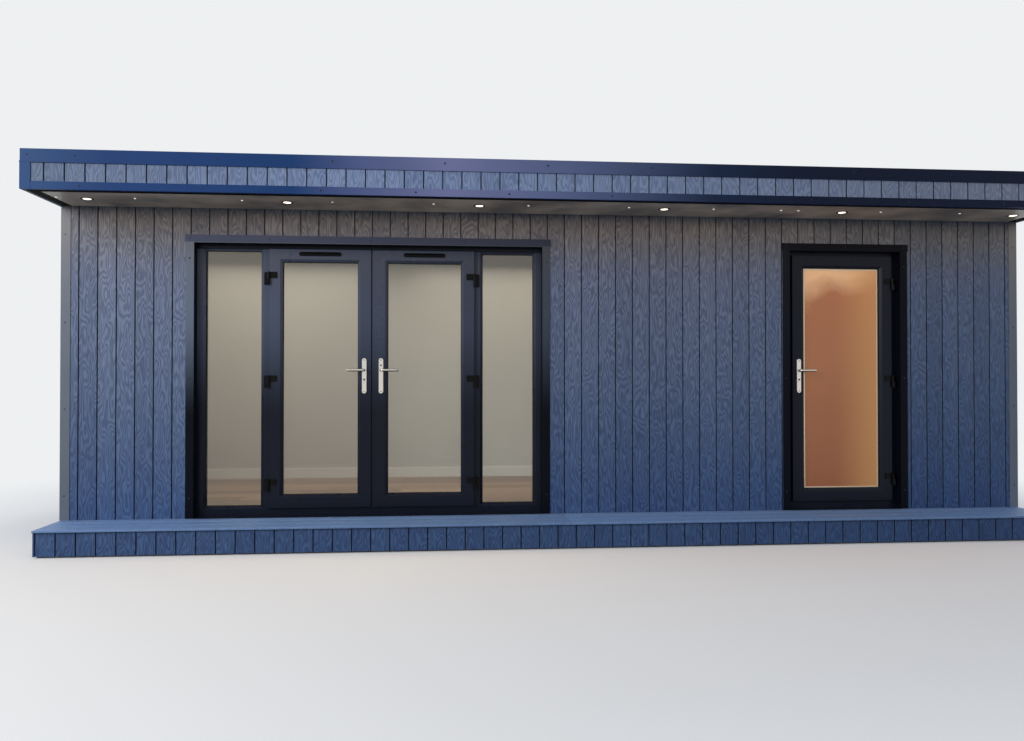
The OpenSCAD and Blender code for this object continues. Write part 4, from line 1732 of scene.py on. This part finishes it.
@dataclass
class Studio:
    """The plain floor, the soft light and the camera at the photograph's place."""

    eye: Point = (-0.863, -6.730, 1.198)
    yaw: float = 0.0822
    pitch: float = 0.0102
    sky: float = 0.66
    # The sky, the floor as it is seen, and the floor as it throws light back at the pod
    haze: str = "#eef0f2"
    ground: str = "#f6f3ec"
    bounce: str = "#7c7872"
    # An open sky lights a little blue
    daylight: str = "#d3dff3"
    # The floor fades into the sky between these distances from the pod's middle
    fade_from: float = 3.6
    fade_to: float = 6.6

    def seen(self, add: Adder) -> Socket:
        """Tells the rays that show a surface from those that only light the pod.

        Args:
            add: adds a node to the floor's or the sky's tree.

        Returns:
            A socket that is 1 for what the camera sees, straight, mirrored or through glass.
        """
        most = add("LightPath", out="Is Camera Ray")
        for kind in ("Is Glossy Ray", "Is Transmission Ray"):
            most = add("Math", {0: most, 1: add("LightPath", out=kind)}, operation="MAXIMUM")
        return most

    def floor(self) -> None:
        """Lays the pale floor, which fades into the sky far from the pod."""
        bpy.ops.object.select_all(action="DESELECT")
        bpy.ops.mesh.primitive_plane_add(size=400, location=(0, 0, -0.5 * MM))
        ground = bpy.context.object
        ground.name = "studio_floor"
        made = bpy.data.materials.new("studio_floor")
        made.use_nodes = True
        made.node_tree.nodes.clear()
        add = partial(add_node, made.node_tree)
        seen = self.seen(add)
        tone = add("Mix", {0: seen, 6: self.bounce, 7: self.ground}, 2, data_type="RGBA")
        lit = add("BsdfDiffuse", {"Color": tone})
        coords = add("TexCoord", out="Object")
        away = add("VectorMath", {0: coords}, "Value", operation="LENGTH")
        reach = {"From Min": self.fade_from, "From Max": self.fade_to}
        far = add("MapRange", {"Value": away, **reach}, interpolation_type="SMOOTHSTEP")
        fade = add("Math", {0: far, 1: seen}, operation="MULTIPLY")
        haze = add("Emission", {"Color": self.haze})
        add("OutputMaterial", {"Surface": add("MixShader", {0: fade, 1: lit, 2: haze})})
        ground.data.materials.append(made)

    def world(self) -> None:
        """Makes a pale sky that looks white, and lights softly and a little blue."""
        world = bpy.data.worlds.new("studio")
        bpy.context.scene.world = world
        world.use_nodes = True
        world.node_tree.nodes.clear()
        add = partial(add_node, world.node_tree)
        seen = self.seen(add)
        strength = add("MapRange", {"Value": seen, "To Min": self.sky, "To Max": 1.0})
        tone = add("Mix", {0: seen, 6: self.daylight, 7: self.haze}, 2, data_type="RGBA")
        add("OutputWorld", {"Surface": add("Background", {"Color": tone, "Strength": strength})})

    def lamp(
        self,
        name: str,
        at: Point,
        aim: Point,
        size: float,
        watts: float,
        colour: str = WHITE,
        gleam: bool = False,
        depth: float = 9.0,
    ) -> None:
        """Hangs one soft lamp that is never seen straight.

        Args:
            name: the lamp's name.
            at: where it hangs.
            aim: what it points at.
            size: its width.
            watts: its power.
            colour: its colour.
            gleam: whether glossy surfaces mirror it.
            depth: its other side, where that is less than its width.
        """
        data = bpy.data.lights.new(name, "AREA")
        data.shape = "RECTANGLE"
        data.size, data.size_y, data.energy = size, min(size, depth), watts
        data.color = linear(colour)[:3]
        lamp = bpy.data.objects.new(name, data)
        lamp.location = at
        lamp.rotation_euler = (Vector(aim) - Vector(at)).to_track_quat("-Z", "Y").to_euler()
        lamp.visible_camera = lamp.visible_transmission = False
        lamp.visible_glossy = gleam
        bpy.context.collection.objects.link(lamp)

    def camera(self) -> None:
        """Puts the camera where the photograph was taken from."""
        data = bpy.data.cameras.new("photograph")
        data.sensor_width = SENSOR_MM
        data.lens = FOCAL_PX / IMAGE_WIDTH * SENSOR_MM
        data.clip_end = 300
        camera = bpy.data.objects.new("photograph", data)
        camera.location = self.eye
        camera.rotation_euler = (math.pi / 2 + self.pitch, 0, -self.yaw)
        bpy.context.collection.objects.link(camera)
        bpy.context.scene.camera = camera

    def build(self) -> None:
        """Sets up the whole studio."""
        self.floor()
        self.world()
        self.lamp("key", (-8.5, -7, 5), (-1, -0.9, 1.3), 4.5, 590, gleam=True)
        self.lamp("fill", (7, -8, 4), (0, -0.5, 1.2), 6, 50)
        self.lamp("rear", (3, 9, 5), (0, 1.3, 1.3), 6, 380)
        for x in (-2.5, -0.3):
            self.lamp("room", (x, 0.2, 2.3), (x, 0.3, 0), 1.8, 17, "#fff0dc")
        for x in Roof.lamps:
            at = (x, Roof.lamp_y, SOFFIT - 20 * MM)
            self.lamp("downlight", at, (x, Roof.lamp_y + 0.12, 0), 1.3, 2.6, "#ffc890", depth=0.25)
        self.camera()
        bpy.context.scene.view_settings.view_transform = "Standard"


def main() -> None:
    """Builds and dresses the pod."""
    logging.basicConfig(level=logging.INFO, format="%(name)s %(message)s")
    PALETTE.mix()
    dress_nodes()
    for assembly in (Shell(), Step(), Roof(), DoorSet(), Studio()):
        assembly.build()
        LOG.info("%s built", type(assembly).__name__)


if __name__ == "__main__":
    main()
